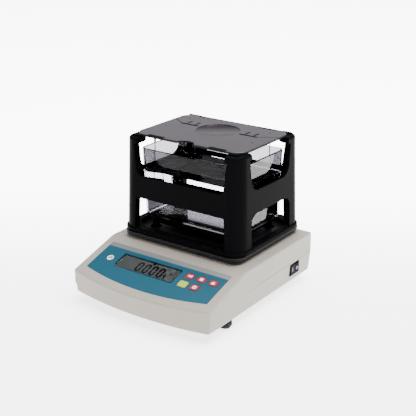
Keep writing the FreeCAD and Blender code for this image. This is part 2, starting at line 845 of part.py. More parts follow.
def bottom_tub():
    form = tub_form("TubForm", "0", "ground_gap")
    soften(form, form.Tip, "tub_edge", at_height("ground_gap"), "Chamfer")
    hollow = tub_form("TubHollow", "wall", "floor_z")
    shell = part_cut("TubShell", form, hollow)
    walls = part_cut("TubWalls", shell, seam_form("Above", False))
    root = seam_band("LipRoot", "wall / 2", "wall + lip_play + lip_wall", "-(seam_gap / 2)")
    tongue = seam_band("LipTongue", "wall + lip_play", "wall + lip_play + lip_wall", "lip_rise")
    trimmed = part_fuse("TubTrimmed", [walls, root, tongue])

    posts = body("TubPosts")
    start = "floor_z - wall / 2"
    drawn = sketch(posts, "ScrewBosses", lift=start)
    circles(drawn, COVER_SCREWS, "post_radius + head_radius / 2")
    pad(posts, drawn, "post_foot + wall / 2")
    drawn = sketch(posts, "NutBosses", lift=start)
    circles(drawn, FEET, "nut_boss")
    pad(posts, drawn, "nut_boss_height + wall / 2")
    drawn = sketch(posts, "BoardPillars", lift=start)
    circles(drawn, MAIN_SCREWS, "post_radius")
    pad(posts, drawn, "main_board_lift + wall / 2")
    drawn = sketch(posts, "CellPlinth", lift=start)
    middle = "pan_back + (cell_length - cell_end) / 2"
    centred(drawn, "cell_width + 2 * plinth_height", "cell_end + plinth_height", "0", middle)
    pad(posts, drawn, "plinth_height + wall / 2")
    drawn = sketch(posts, "StopBoss", lift=start)
    circles(drawn, [STOP], "2 * stop_radius")
    pad(posts, drawn, "plinth_height + wall / 2")
    inside = part_common("TubPillars", posts, form)
    filled = part_fuse("TubFilled", [trimmed, inside])

    cuts = body("TubOpenings")
    drawn = sketch(cuts, "ScrewHoles", lift="ground_gap - wall")
    circles(drawn, COVER_SCREWS, "shank_radius + 2 * trim_gap")
    circles(drawn, FEET, "stud_radius + 2 * trim_gap")
    circles(drawn, CELL_SCREWS, "cell_screw_radius + trim_gap")
    pad(cuts, drawn, "3 * wall + post_foot")
    drawn = sketch(cuts, "HeadSinks", lift="ground_gap - wall")
    circles(drawn, COVER_SCREWS, "head_radius + trim_gap")
    circles(drawn, CELL_SCREWS, "cell_screw_head + trim_gap")
    pad(cuts, drawn, "wall + sink_depth")
    drawn = sketch(cuts, "NutPockets", lift="floor_z - nut_sunk")
    for x, y in FEET:
        hexagon(drawn, x, y, "nut_flats + 2 * screw_fit")
    pad(cuts, drawn, "nut_height + wall")
    drawn = sketch(cuts, "PillarPilots", lift="floor_z")
    circles(drawn, MAIN_SCREWS, "shank_radius + screw_fit")
    circles(drawn, [STOP], "stop_radius + screw_fit")
    pad(cuts, drawn, "main_board_lift + wall")

    drawn = sketch(cuts, "SwitchSeat", "YZ_Plane", "side_x - wall_seat")
    wide, high = "bezel_length + 2 * trim_gap", "bezel_height + 2 * trim_gap"
    rounded(drawn, wide, high, "wall_seat", "rocker_y", "ground_gap + rocker_up")
    pad(cuts, drawn, "2 * wall")
    drawn = sketch(cuts, "SwitchCutout", "YZ_Plane", "side_x - 3 * wall")
    wide, high = "switch_length + 2 * hole_play", "switch_breadth + 2 * hole_play"
    centred(drawn, wide, high, "rocker_y", "ground_gap + rocker_up")
    pad(cuts, drawn, "3 * wall")
    drawn = sketch(cuts, "SocketSeats", "XZ_Plane", "wall_seat - rear_y")
    wide, high = "port_flange_width + 2 * trim_gap", "port_flange_height + 2 * trim_gap"
    rounded(drawn, wide, high, "port_slant", "port_x", SOCKET_Z)
    circles(drawn, [("inlet_x", SOCKET_Z)], "inlet_flange + trim_gap")
    pad(cuts, drawn, "2 * wall", down=True)
    drawn = sketch(cuts, "SocketHoles", "XZ_Plane", "3 * wall - rear_y")
    circles(drawn, [("inlet_x", SOCKET_Z)], "inlet_radius + hole_play")
    d_outline(drawn, "port_shell + hole_play")
    circles(drawn, PORT_SCREWS, "shank_radius")
    pad(cuts, drawn, "3 * wall", down=True)
    return keep(part_cut("bottom_tub", filled, cuts))


def d_outline(drawn, grow):
    """The slanted outline of the nine-way socket."""
    upper, lower = "port_width / 2 + (%s)" % grow, "port_width / 2 - port_slant + (%s)" % grow
    high, low = SOCKET_Z + " + port_height / 2 + (%s)" % grow, SOCKET_Z + " - port_height / 2 - (%s)" % grow
    sides = [("port_x - (%s)" % lower, low), ("port_x + " + lower, low)]
    outline(drawn, sides + [("port_x + " + upper, high), ("port_x - (%s)" % upper, high)])


def screws(label, places, start, shank, length, head, height, up=True):
    """Round-headed screws with hex sockets; the head lies at the start, the shank beyond it."""
    owner = body(label)
    drawn = sketch(owner, label + "Shanks", lift=start)
    circles(drawn, places, shank)
    pad(owner, drawn, length, down=not up)
    drawn = sketch(owner, label + "Heads", lift=start)
    circles(drawn, places, head)
    heads = pad(owner, drawn, height, down=up)
    end = "%s - (%s)" % (start, height) if up else "%s + %s" % (start, height)
    heads = soften(owner, heads, "(%s) / 4" % height, at_height(end), "Chamfer")
    drawn = sketch(owner, label + "Drives", lift=end)
    for x, y in places:
        hexagon(drawn, x, y, head)
    pocket(owner, drawn, "(%s) / 2" % height, up=up)
    return owner


# ---------------------------------------------------------------- sloped panel
def panel_overlay():
    owner = keep(on_slope(body("panel_overlay")))
    drawn = sketch(owner, "OverlaySheet", lift="-overlay_recess")
    overlay_outline(drawn, "0")
    sheet_pad = pad(owner, drawn, "overlay_thickness")
    soften(owner, sheet_pad, "overlay_round", upright)
    drawn = sketch(owner, "OverlayWindows", lift="overlay_thickness")
    rounded(drawn, "lcd_width", "lcd_height", "key_round", "lcd_x", "lcd_up")
    key_windows(drawn, "key_gap")
    circles(drawn, [("level_x", "level_up")], "level_radius + trim_gap")
    pocket(owner, drawn)
    return owner


def display_window():
    owner = keep(on_slope(body("display_window")))
    drawn = sketch(owner, "WindowPane", lift="-(window_thickness + trim_gap / 4)")
    wide, high = "lcd_width - 2 * window_gap", "lcd_height - 2 * window_gap"
    rounded(drawn, wide, high, "key_round - window_gap", "lcd_x", "lcd_up")
    pane = pad(owner, drawn, "window_thickness")
    soften(owner, pane, "trim_gap", at_height("-(trim_gap / 4)"), "Chamfer")
    return owner


def display_module():
    owner = keep(on_slope(body("display_module")))
    drawn = sketch(owner, "ModuleFrame", lift="-board_under")
    wide, high = "lcd_width + 2 * lcd_border", "lcd_height + 2 * lcd_border"
    centred(drawn, wide, high, "lcd_x", "lcd_up")
    pad(owner, drawn, "standoff - trim_gap / 2")
    drawn = sketch(owner, "ModuleGlass", lift="-wall - trim_gap")
    wide, high = "lcd_width - 3 * window_ledge", "lcd_height - 3 * window_ledge"
    centred(drawn, wide, high, "lcd_x", "lcd_up")
    pad(owner, drawn, "wall - window_thickness - trim_gap / 2")
    return owner


def display_board():
    owner = keep(on_slope(body("display_board")))
    drawn = sketch(owner, "BoardSheet", lift="-board_under")
    rounded(drawn, "display_board_width", "display_board_height", "window_ledge", "0", "display_board_up")
    circles(drawn, BOARD_SCREWS, "shank_radius + trim_gap")
    pad(owner, drawn, "board_thickness", down=True)
    return owner


def display_screws():
    start = "-board_under - board_thickness"
    shank = "shank_radius - wall / 10"
    owner = screws("display_screws", BOARD_SCREWS, start, shank, "standoff", "head_radius", "head_height")
    return keep(on_slope(owner))


def key_switches():
    owner = keep(on_slope(body("key_switches")))
    drawn = sketch(owner, "SwitchCases", lift="-board_under")
    for x, y in KEYS:
        centred(drawn, "switch_base", "switch_base", x, y)
    pad(owner, drawn, "switch_height")
    drawn = sketch(owner, "SwitchPlungers", lift="-board_under + switch_height - key_slack")
    circles(drawn, KEYS, "plunger_radius")
    clear = "wall + key_plate + key_travel + 3 * key_slack"
    pad(owner, drawn, "board_under - switch_height + key_slack - (%s)" % clear)
    return owner


def key_cap(index):
    """A cap with a flange that stays under the cover."""
    x, y = KEYS[index]
    owner = keep(on_slope(body("key_%d" % (index + 1))))
    drawn = sketch(owner, "KeyFlange", lift="-wall - key_slack")
    wide, high = "key_width + 2 * key_flange", "key_height + 2 * key_flange"
    rounded(drawn, wide, high, "key_round", x, y)
    pad(owner, drawn, "key_plate", down=True)
    top = "overlay_thickness - overlay_recess + key_proud"
    drawn = sketch(owner, "KeyCap", lift="-wall - key_slack - key_plate / 2")
    rounded(drawn, "key_width", "key_height", "key_round", x, y)
    cap = pad(owner, drawn, "wall + key_slack + key_plate / 2 + " + top)
    soften(owner, cap, "key_proud - key_slack", at_height(top), "Chamfer")
    return owner


def level_vial():
    """A round vial: flanged case under the cover, bore for the liquid, rim at the top."""
    owner = keep(on_slope(body("level_vial")))
    place = [("level_x", "level_up")]
    drawn = sketch(owner, "VialCase", lift="-level_depth")
    circles(drawn, place, "level_radius")
    case = pad(owner, drawn, "level_depth + overlay_thickness - overlay_recess + trim_gap")
    end = "overlay_thickness - overlay_recess + trim_gap"
    soften(owner, case, "trim_gap", at_height(end), "Chamfer")
    drawn = sketch(owner, "VialFlange", lift="-wall - key_slack")
    circles(drawn, place, "level_radius + level_flange")
    pad(owner, drawn, "key_plate + trim_gap", down=True)
    drawn = sketch(owner, "VialBore", lift=end)
    circles(drawn, place, "level_radius - level_rim + 2 * trim_gap")
    pocket(owner, drawn, "level_depth - level_rim")
    return owner


# ---------------------------------------------------------------- inside the housing
def main_board():
    """The circuit board with its shielded converter, a chip and two socket blocks."""
    owner = keep(body("main_board"))
    drawn = sketch(owner, "MainSheet", lift=BOARD_Z)
    wide, deep = "main_board_width", "main_board_depth"
    rounded(drawn, wide, deep, "window_ledge", "main_board_x", "main_board_y")
    circles(drawn, MAIN_SCREWS, "shank_radius + trim_gap")
    pad(owner, drawn, "board_thickness")
    drawn = sketch(owner, "ShieldCan", lift=BOARD_Z + " + board_thickness / 2")
    can = "main_board_width / 3"
    rounded(drawn, can, can, "window_ledge", "main_board_x - " + can + " / 2", "main_board_y")
    pad(owner, drawn, "board_thickness / 2 + 2 * chip_height")
    drawn = sketch(owner, "Chips", lift=BOARD_Z + " + board_thickness / 2")
    small = "main_board_width / 5"
    centred(drawn, small, small, "main_board_x + " + small, "main_board_y - " + small)
    centred(drawn, small, small + " / 2", "main_board_x + " + small, "main_board_y + " + small)
    pad(owner, drawn, "board_thickness / 2 + chip_height / 2")
    return owner


def ribbon_cable():
    """A flat cable with a plug at each end, bent up from the main board to the display board."""
    owner = keep(body("ribbon_cable"))
    low = BOARD_Z + " + board_thickness + chip_height"
    front = "main_board_y - main_board_depth / 2 + ribbon_rise"
    up = "display_board_up + display_board_height / 4"
    depth = "(board_under + board_thickness + chip_height)"
    end_y = "(front_y + (%s) * cos(slope_tilt) + %s * sin(slope_tilt))" % (up, depth)
    end_z = "(front_z + (%s) * sin(slope_tilt) - %s * cos(slope_tilt))" % (up, depth)
    thick = "ribbon_thickness"
    drawn = sketch(owner, "RibbonSide", "YZ_Plane", "main_board_x")
    outline(
        drawn,
        [
            ("%s - %s" % (front, thick), low + " - " + thick),
            (front, low + " - " + thick),
            (front, low + " + ribbon_rise"),
            (end_y, end_z + " - ribbon_rise / 2"),
            (end_y, "%s + %s" % (end_z, thick)),
            (end_y + " - " + thick, "%s + %s" % (end_z, thick)),
            (end_y + " - " + thick, end_z + " - ribbon_rise / 2 - " + thick),
            ("%s - %s" % (front, thick), low + " + ribbon_rise - " + thick),
        ],
    )
    pad(owner, drawn, "ribbon_width", both=True)
    drawn = sketch(owner, "RibbonPlug", lift=BOARD_Z + " + board_thickness")
    plug = "ribbon_width + ribbon_thickness * 2"
    centred(drawn, plug, "ribbon_rise", "main_board_x", "%s - %s / 2" % (front, thick))
    pad(owner, drawn, "chip_height")
    board_plug = on_slope(body("DisplayPlug"))
    drawn = sketch(board_plug, "DisplayPlugBlock", lift="-board_under - board_thickness")
    centred(drawn, plug, "ribbon_rise", "main_board_x", up)
    pad(board_plug, drawn, "chip_height", down=True)
    NODES.remove(owner)
    owner.Label = "RibbonStrip"
    return keep(part_fuse("ribbon_cable", [owner, board_plug]))


def load_cell_block():
    owner = keep(body("load_cell_block"))
    drawn = sketch(owner, "BlockPlan", lift="floor_z + plinth_height")
    middle = "pan_back + (cell_length - cell_end) / 2"
    centred(drawn, "cell_width", "cell_end", "0", middle)
    circles(drawn, CELL_SCREWS, "cell_screw_radius + trim_gap")
    pad(owner, drawn, "cell_lift - plinth_height")
    return owner


def load_cell():
    """A single-point bending beam with a double hole, tapped at both ends."""
    owner = keep(body("load_cell"))
    drawn = sketch(owner, "BeamPlan", lift="cell_z")
    centred(drawn, "cell_width", "cell_length", "0", "pan_back")
    beam = pad(owner, drawn, "cell_height")
    soften(owner, beam, "trim_gap * 2", upright, "Chamfer")
    middle = "cell_z + cell_height / 2"
    drawn = sketch(owner, "BeamHoles", "YZ_Plane")
    ends = [("pan_back + (%d) * cell_hole_apart / 2" % way, middle) for way in (-1, 1)]
    circles(drawn, ends, "cell_hole")
    pocket(owner, drawn, "2 * cell_width", both=True)
    drawn = sketch(owner, "BeamSlot", "YZ_Plane")
    centred(drawn, "cell_hole_apart", "cell_slot", "pan_back", middle)
    pocket(owner, drawn, "2 * cell_width", both=True)
    drawn = sketch(owner, "FixedTaps", lift="cell_z")
    circles(drawn, CELL_SCREWS, "cell_screw_radius + screw_fit")
    pocket(owner, drawn, "cell_screw_depth + key_travel", up=True)
    drawn = sketch(owner, "ArmTaps", lift="cell_top")
    circles(drawn, ARM_SCREWS, "cell_screw_radius + screw_fit")
    pocket(owner, drawn, "cell_screw_depth + key_travel")
    return owner


def overload_stop():
    """A hex-headed screw whose head catches the free end of the beam."""
    owner = keep(body("overload_stop"))
    drawn = sketch(owner, "StopShank", lift="floor_z + trim_gap")
    circles(drawn, [STOP], "stop_radius")
    pad(owner, drawn, "plinth_height")
    drawn = sketch(owner, "StopHead", lift="floor_z + plinth_height")
    hexagon(drawn, STOP[0], STOP[1], "3 * stop_radius")
    head = pad(owner, drawn, "cell_lift - plinth_height - stop_gap")
    soften(owner, head, "2 * trim_gap", at_height("cell_z - stop_gap"), "Chamfer")
    return owner


# ---------------------------------------------------------------- weighing parts
def pan_support():
    """Arm plate bolted to the free end of the beam, with the stem that carries the tray."""
    owner = keep(body("pan_support"))
    plate_z = "cell_top + support_spacer"
    drawn = sketch(owner, "ArmSpacer", lift="cell_top")
    centred(drawn, "cell_width", "cell_end", STOP[0], STOP[1])
    pad(owner, drawn, "support_spacer + support_thickness / 2")
    drawn = sketch(owner, "ArmPlate", lift=plate_z)
    rounded(drawn, "support_width", "support_depth", "support_round", **PAN)
    plate = pad(owner, drawn, "support_thickness")
    soften(owner, plate, "trim_gap * 3", at_height(plate_z + " + support_thickness"), "Chamfer")
    drawn = sketch(owner, "ArmHoles", lift=plate_z + " + support_thickness")
    circles(drawn, ARM_SCREWS, "cell_screw_radius + trim_gap")
    relief = "support_width / 4"
    for side in (-1, 1):
        middle = "(%d) * (%s + cell_width / 4)" % (side, relief)
        rounded(drawn, relief + " / 2", "support_depth / 2", "plinth_height", middle, "pan_back")
    pocket(owner, drawn)
    drawn = sketch(owner, "Stem", lift=plate_z + " + support_thickness / 2")
    circles(drawn, [("0", "pan_back")], "stem_radius")
    pad(owner, drawn, "tray_z - cell_top - support_spacer - support_thickness / 2")
    drawn = sketch(owner, "Spigot", lift="tray_z - pan_gap / 2")
    circles(drawn, [("0", "pan_back")], "spigot_radius")
    spigot = pad(owner, drawn, "spigot_height + pan_gap / 2")
    soften(owner, spigot, "trim_gap * 3", at_height("tray_z + spigot_height"), "Chamfer")
    return owner


def pan_tray():
    """The tray under the frame: hollow beneath, ringed round its four leg holes and its hub."""
    owner = keep(body("pan_tray"))
    drawn = sketch(owner, "TrayPlan", lift="tray_z")
    rounded(drawn, "tray_width", "tray_depth", "tray_round", **PAN)
    slab = pad(owner, drawn, "tray_thickness")
    slab = soften(owner, slab, "tray_edge", at_height("tray_z"))
    soften(owner, slab, "trim_gap * 2", at_height("frame_z"), "Chamfer")
    drawn = sketch(owner, "TrayHollow", lift="tray_z")
    wide, deep = "tray_width - 4 * tray_edge", "tray_depth - 4 * tray_edge"
    rounded(drawn, wide, deep, "tray_round - 2 * tray_edge", **PAN)
    circles(drawn, LEGS, "leg_radius + 2 * leg_clearance")
    circles(drawn, [("0", "pan_back")], "stem_radius + leg_clearance")
    pocket(owner, drawn, "tray_thickness / 2", up=True)
    drawn = sketch(owner, "TrayHoles", lift="frame_z")
    circles(drawn, LEGS, "leg_radius + leg_clearance")
    circles(drawn, [("0", "pan_back")], "spigot_radius + spigot_fit")
    pocket(owner, drawn)
    return owner


def about_pan(owner, height):
    """Place a body so that its own origin lies on the pan's axis at a height."""
    owner.Placement = FreeCAD.Placement(FreeCAD.Vector(0, 0, 0), FreeCAD.Rotation())
    owner.setExpression("Placement.Base.y", cells("pan_back"))
    owner.setExpression("Placement.Base.z", cells(height))
    return owner


def window(drawn, low, high, low_half, high_half, low_round="0", high_round="0"):
    """A symmetrical opening with leaning sides, rounded at its lower or its upper corners."""
    lean = "((%s) - (%s)) / ((%s) - (%s))" % (high_half, low_half, high, low)
    corners, arcs = [], {}
    for side in (1, -1):
        for level, half, radius, way in ((low, low_half, low_round, 1), (high, high_half, high_round, -1)):
            tip = []
            if radius == "0":
                tip = [("(%d) * (%s)" % (side, half), level)]
            else:
                spread = "(1 - 1 / sqrt(2)) * (%s)" % radius
                beside = "(%s) + (%d) * %s * (%s)" % (half, way, lean, radius)
                tip = [
                    ("(%d) * ((%s) - (%s))" % (side, half, radius), level),
                    ("(%d) * ((%s) - %s)" % (side, half, spread), "%s + (%d) * %s" % (level, way, spread)),
                    ("(%d) * (%s)" % (side, beside), "%s + (%d) * (%s)" % (level, way, radius)),
                ]
            if way == -1:
                tip.reverse()
            corners.append(tip)
    left = [corners[3], corners[2]]
    path = [corners[0], corners[1]] + [list(reversed(tip)) for tip in left]
    points = []
    for tip in path:
        if len(tip) == 3:
            arcs[len(points)] = tip[1]
            points += [tip[0], tip[2]]
        else:
            points += tip
    outline(drawn, points, arcs)


def wall_at(size, height):
    """Outer width or depth of the frame's leaning walls at a height of the frame."""
    climb = "((%s) - groove_height) / (frame_height - groove_height)" % height
    return "(foot_%s - (foot_%s - crown_%s) * %s)" % (size, size, size, climb)


def frame_room(owner, name, low, high, inset_x, inset_y, half_x=None, half_y=None):
    """Hollow the frame between two heights, at a distance from its leaning walls."""
    made = []
    for end, height in (("Low", low), ("High", high)):
        wide = "2 * (%s)" % half_x if half_x else "%s - 2 * (%s)" % (wall_at("width", height), inset_x)
        deep = "2 * (%s)" % half_y if half_y else "%s - 2 * (%s)" % (wall_at("depth", height), inset_y)
        drawn = sketch(owner, name + end, lift=height)
        if half_x or half_y:
            centred(drawn, wide, deep)
        else:
            rounded(drawn, wide, deep, "foot_round - column_depth")
        made.append(drawn)
    return loft(owner, "SubtractiveLoft", *made)


def corner_cross(drawn):
    """A cross whose inward corners are rounded: the gap between the four corner seats."""
    spread = "(1 - 1 / sqrt(2)) * cap_round"
    points, arcs = [], {}
    for to_x, to_y in ((1, -1), (1, 1), (-1, 1), (-1, -1)):
        turn = [
            ("(%d) * cap_x" % to_x, "(%d) * foot_width" % to_y),
            ("(%d) * cap_x" % to_x, "(%d) * (cap_y + cap_round)" % to_y),
            ("(%d) * (cap_x + cap_round)" % to_x, "(%d) * cap_y" % to_y),
            ("(%d) * foot_width" % to_x, "(%d) * cap_y" % to_y),
        ]
        bulge = ("(%d) * (cap_x + %s)" % (to_x, spread), "(%d) * (cap_y + %s)" % (to_y, spread))
        arcs[len(points) + 1] = bulge
        points += turn if to_x * to_y < 0 else list(reversed(turn))
    outline(drawn, points, arcs)


def measuring_frame():
    """An open moulded frame: foot ring, four leaning columns, a belt and four corner seats."""
    owner = keep(about_pan(body("measuring_frame"), "frame_z"))
    ring_top = "groove_height + lip_height"
    shelf = "frame_height - cap_thickness"

    drawn = sketch(owner, "Groove")
    wide, deep = "lip_width - 2 * groove_depth", "lip_depth - 2 * groove_depth"
    rounded(drawn, wide, deep, "lip_round - groove_depth")
    pad(owner, drawn, "groove_height")
    drawn = sketch(owner, "Lip", lift="groove_height")
    rounded(drawn, "lip_width", "lip_depth", "lip_round")
    ring = pad(owner, drawn, "lip_height")
    soften(owner, ring, "lip_edge", at_height(ring_top))

    foot = sketch(owner, "WallFoot", lift="groove_height")
    rounded(foot, "foot_width", "foot_depth", "foot_round")
    crown = sketch(owner, "WallCrown", lift="frame_height")
    rounded(crown, "crown_width", "crown_depth", "crown_round")
    loft(owner, "AdditiveLoft", foot, crown)
    frame_room(owner, "Room", ring_top, shelf, "column_side", "column_depth")
    frame_room(owner, "FrontThin", ring_top, shelf, "0", "frame_wall", half_x="front_sill_half")
    frame_room(owner, "SideThin", ring_top, shelf, "frame_wall", "0", half_y="side_sill_half")
    drawn = sketch(owner, "CornerSeats", lift="frame_height")
    corner_cross(drawn)
    pocket(owner, drawn, "cap_thickness")

    drawn = sketch(owner, "FrontWindows", "XZ_Plane")
    window(drawn, ring_top, "belt_low", "front_foot_half", "front_low_half")
    window(drawn, "belt_high", shelf, "front_sill_half", "front_high_half", "front_sill_round")
    pocket(owner, drawn, "2 * foot_width", both=True)
    drawn = sketch(owner, "SideWindows", "YZ_Plane")
    window(drawn, ring_top, "belt_low", "side_low_half", "side_low_half", "0", "side_low_round")
    window(drawn, "belt_high", shelf, "side_sill_half", "side_high_half", "side_sill_round")
    walls = pocket(owner, drawn, "2 * foot_width", both=True)

    def outer_top(middle):
        within = value("cap_edge / 3")
        beside = value("crown_width / 2") - abs(middle.x)
        before = value("crown_depth / 2") - abs(middle.y)
        return min(beside, before) < within or beside + before < value("cap_round")

    soften(owner, walls, "cap_edge", at_height("frame_height", outer_top))
    drawn = sketch(owner, "RingOpening")
    rounded(drawn, "ring_width", "ring_depth", "ring_round")
    pocket(owner, drawn, ring_top, up=True)

    drawn = sketch(owner, "Lugs", lift="frame_height - lug_height")
    for to_x in (-1, 1):
        for to_y in (-1, 1):
            beside = "(%d) * (board_depth / 2 + lug_play + lug_width / 2)" % to_y
            middle = "(%d) * (crown_width / 2 - cap_round)" % to_x
            centred(drawn, "cap_round", "lug_width", middle, beside)
    lugs = pad(owner, drawn, "2 * lug_height")
    soften(owner, lugs, "trim_gap * 2", at_height("frame_height + lug_height"), "Chamfer")
    return owner


def measuring_board():
    owner = keep(about_pan(body("measuring_board"), "board_z"))
    drawn = sketch(owner, "BoardPlan")
    rounded(drawn, "board_width", "board_depth", "board_round")
    slab = pad(owner, drawn, "board_height")
    slab = soften(owner, slab, "board_edge", at_height("board_height"), "Chamfer")
    drawn = sketch(owner, "Notch", lift="board_height")
    circles(drawn, [("0", "notch_reach - notch_radius - board_depth / 2")], "notch_radius")
    for side in (-1, 1):
        middle = "(%d) * slot_x" % side
        rounded(drawn, "slot_length", "slot_width", "slot_width / 2 - trim_gap", middle, "slot_back")
    pocket(owner, drawn)
    drawn = sketch(owner, "Dish", "XZ_Plane", "-dish_back")
    base = "board_height - dish_sink"
    ring = "dish_radius - dish_sink"
    outline(drawn, [("0", base), (ring, base), ("dish_radius", "board_height + trim_gap"),
                    ("0", "board_height + trim_gap")])
    turned(owner, "Groove", drawn)
    drawn = sketch(owner, "Dashes", lift="board_height")
    for to_x in (-1, 1):
        for to_y in (-1, 1):
            x = "(%d) * dash_x" % to_x
            y = "(%d) * (board_depth / 2 - dash_inset)" % to_y
            rounded(drawn, "dash_length", "dash_width", "dash_width / 2 - trim_gap", x, y)
        for way in (-1, 1):
            x = "(%d) * (slot_x + (%d) * tick_half)" % (to_x, way)
            centred(drawn, "slot_width / 2", "tick_length", x, "tick_back")
    pocket(owner, drawn, "dash_sink")
    drawn = sketch(owner, "PegHoles")
    circles(drawn, four("rod_x", "rod_y"), "peg_radius + spigot_fit")
    pocket(owner, drawn, "board_height / 2", up=True)
    return owner


def hanger_rods():
    """Four wires pegged into the board, each with a nut under the basket."""
    owner = keep(about_pan(body("hanger_rods"), "basket_z"))
    rods = four("rod_x", "rod_y")
    top = "board_z - basket_z + board_height / 2 - trim_gap / 2"
    drawn = sketch(owner, "Wires", lift="-rod_nut_height")
    circles(drawn, rods, "rod_radius")
    pad(owner, drawn, "rod_nut_height + " + top)
    drawn = sketch(owner, "Nuts", lift="-rod_nut_height")
    circles(drawn, rods, "rod_nut_radius")
    pad(owner, drawn, "rod_nut_height")
    drawn = sketch(owner, "Pegs", lift=top)
    circles(drawn, rods, "peg_radius")
    pad(owner, drawn, "peg_length", down=True)
    return owner


def basket():
    """A slotted plate with an upturned rim."""
    owner = keep(about_pan(body("basket"), "basket_z"))
    drawn = sketch(owner, "BasketPlan")
    rounded(drawn, "basket_width", "basket_depth", "basket_round")
    pad(owner, drawn, "basket_thickness")
    drawn = sketch(owner, "BasketRim")
    rounded(drawn, "basket_width", "basket_depth", "basket_round")
    wide, deep = "basket_width - 2 * basket_thickness", "basket_depth - 2 * basket_thickness"
    rounded(drawn, wide, deep, "basket_round - basket_thickness")
    pad(owner, drawn, "3 * basket_thickness")
    drawn = sketch(owner, "WireHoles")
    circles(drawn, four("rod_x", "rod_y"), "rod_radius + spigot_fit")
    pocket(owner, drawn, "4 * basket_thickness", up=True)
    drawn = sketch(owner, "FirstSlot")
    centred(drawn, "basket_slot", "basket_gap", "-0.55 * basket_slot", "-2.5 * basket_pitch")
    slot = pocket(owner, drawn, "4 * basket_thickness", up=True)
    doc.recompute()
    across = owner.newObject("PartDesign::MultiTransform", "Slots")
    rows = []
    for axis, count, pitch in (("H_Axis", 2, "1.1 * basket_slot"), ("V_Axis", 6, "basket_pitch")):
        row = owner.newObject("PartDesign::LinearPattern", "SlotRow")
        row.Direction = (drawn, [axis])
        row.setExpression("Length", cells("%d * %s" % (count - 1, pitch)))
        row.Occurrences = count
        rows.append(row)
    across.Originals = [slot]
    across.Transformations = rows
    owner.Tip = across
    return owner


# ---------------------------------------------------------------- tank and its stand
def tank_stand():
    """A low table over the tray: its legs pass through the tray and stand on the housing."""
    owner = keep(about_pan(body("tank_stand"), "stand_z"))
    drawn = sketch(owner, "TablePlan")
    rounded(drawn, "stand_width", "stand_depth", "stand_round")
    table = pad(owner, drawn, "stand_thickness", down=True)
    soften(owner, table, "trim_gap * 3", at_height("0"), "Chamfer")
    foot = "stand_height - leg_pad_height + leg_pad_sink"
    drawn = sketch(owner, "TableLegs", lift="-stand_thickness / 2")
    circles(drawn, four("leg_x", "leg_y"), "leg_radius")
    pad(owner, drawn, foot + " - stand_thickness / 2", down=True)
    drawn = sketch(owner, "TableRibs", lift="-stand_thickness / 2")
    for way in (-1, 1):
        centred(drawn, "2 * leg_x - leg_radius", "stand_rib", "0", "(%d) * leg_y" % way)
        centred(drawn, "stand_rib", "2 * leg_y - leg_radius", "(%d) * leg_x" % way, "0")
    pad(owner, drawn, "stand_thickness / 2 + stand_rib", down=True)
    return owner


def stand_pads():
    owner = keep(about_pan(body("stand_pads"), "plateau_z - leg_pad_sink"))
    drawn = sketch(owner, "PadRings")
    circles(drawn, four("leg_x", "leg_y"), "leg_pad_radius")
    pads = pad(owner, drawn, "leg_pad_height")
    soften(owner, pads, "trim_gap * 2", at_height("leg_pad_height"), "Chamfer")
    return owner


def water_tank():
    """A drafted moulding, wider at its rim than at its floor."""
    owner = keep(about_pan(body("water_tank"), "stand_z"))
    draft = cells("atan(tank_draft / tank_height)")
    drawn = sketch(owner, "TankPlan", lift="tank_height")
    rounded(drawn, "tank_width", "tank_depth", "tank_round")
    block = pad(owner, drawn, "tank_height", down=True)
    block.setExpression("TaperAngle", "-" + draft)
    block = soften(owner, block, "tank_bottom_round", at_height("0"))
    drawn = sketch(owner, "TankRoom", lift="tank_height")
    wide, deep = "tank_width - 2 * tank_wall", "tank_depth - 2 * tank_wall"
    rounded(drawn, wide, deep, "tank_round - tank_wall")
    room = pocket(owner, drawn, "tank_height - tank_floor")
    room.setExpression("TaperAngle", "-" + draft)
    room = soften(owner, room, "tank_bottom_round - tank_wall", at_height("tank_floor"))
    soften(owner, room, "tank_wall / 4", at_height("tank_height"), "Chamfer")
    drawn = sketch(owner, "TankUnderside")
    inset = "2 * (tank_draft + tank_bottom_round + tank_rim)"
    wide, deep = "tank_width - " + inset, "tank_depth - " + inset
    rounded(drawn, wide, deep, "tank_round - tank_draft")
    pocket(owner, drawn, "tank_hollow", up=True)
    return owner


# ---------------------------------------------------------------- feet
def foot_nuts():
    owner = keep(body("foot_nuts"))
    drawn = sketch(owner, "NutPlans", lift="floor_z - nut_sunk")
    for x, y in FEET:
        hexagon(drawn, x, y, "nut_flats")
    circles(drawn, FEET, "stud_radius + stud_fit")
    pad(owner, drawn, "nut_height")
    return owner


def foot_screw(index):
    """A knurled knob with a threaded stud above and a pivot stub in the pad."""
    x, y = FEET[index]
    owner = keep(body("foot_screw_" + FOOT_NAMES[index]))
    knob_z = "pad_height + turning_gap"
    drawn = sketch(owner, "Knob", lift=knob_z)
    circles(drawn, [(x, y)], "knob_radius")
    knob = pad(owner, drawn, "knob_height")
    soften(owner, knob, "knob_height / 5", at_height(knob_z + " + knob_height"), "Chamfer")
    drawn = sketch(owner, "Flutes", lift=knob_z)
    turns = range(0, 360, 45)
    grips = [("%s + knob_radius * cos(%d deg)" % (x, turn), turn) for turn in turns]
    grips = [(along_x, "%s + knob_radius * sin(%d deg)" % (y, turn)) for along_x, turn in grips]
    circles(drawn, grips, "knob_radius / 8")
    pocket(owner, drawn, "knob_height", up=True)
    drawn = sketch(owner, "Stud", lift=knob_z + " + knob_height / 2")
    circles(drawn, [(x, y)], "stud_radius")
    stud = pad(owner, drawn, "knob_height / 2 + stud_length")
    soften(owner, stud, "stud_radius / 5", at_height(knob_z + " + knob_height + stud_length"), "Chamfer")
    drawn = sketch(owner, "Pivot", lift=knob_z)
    circles(drawn, [(x, y)], "stud_radius")
    pad(owner, drawn, "pad_socket", down=True)
    return owner


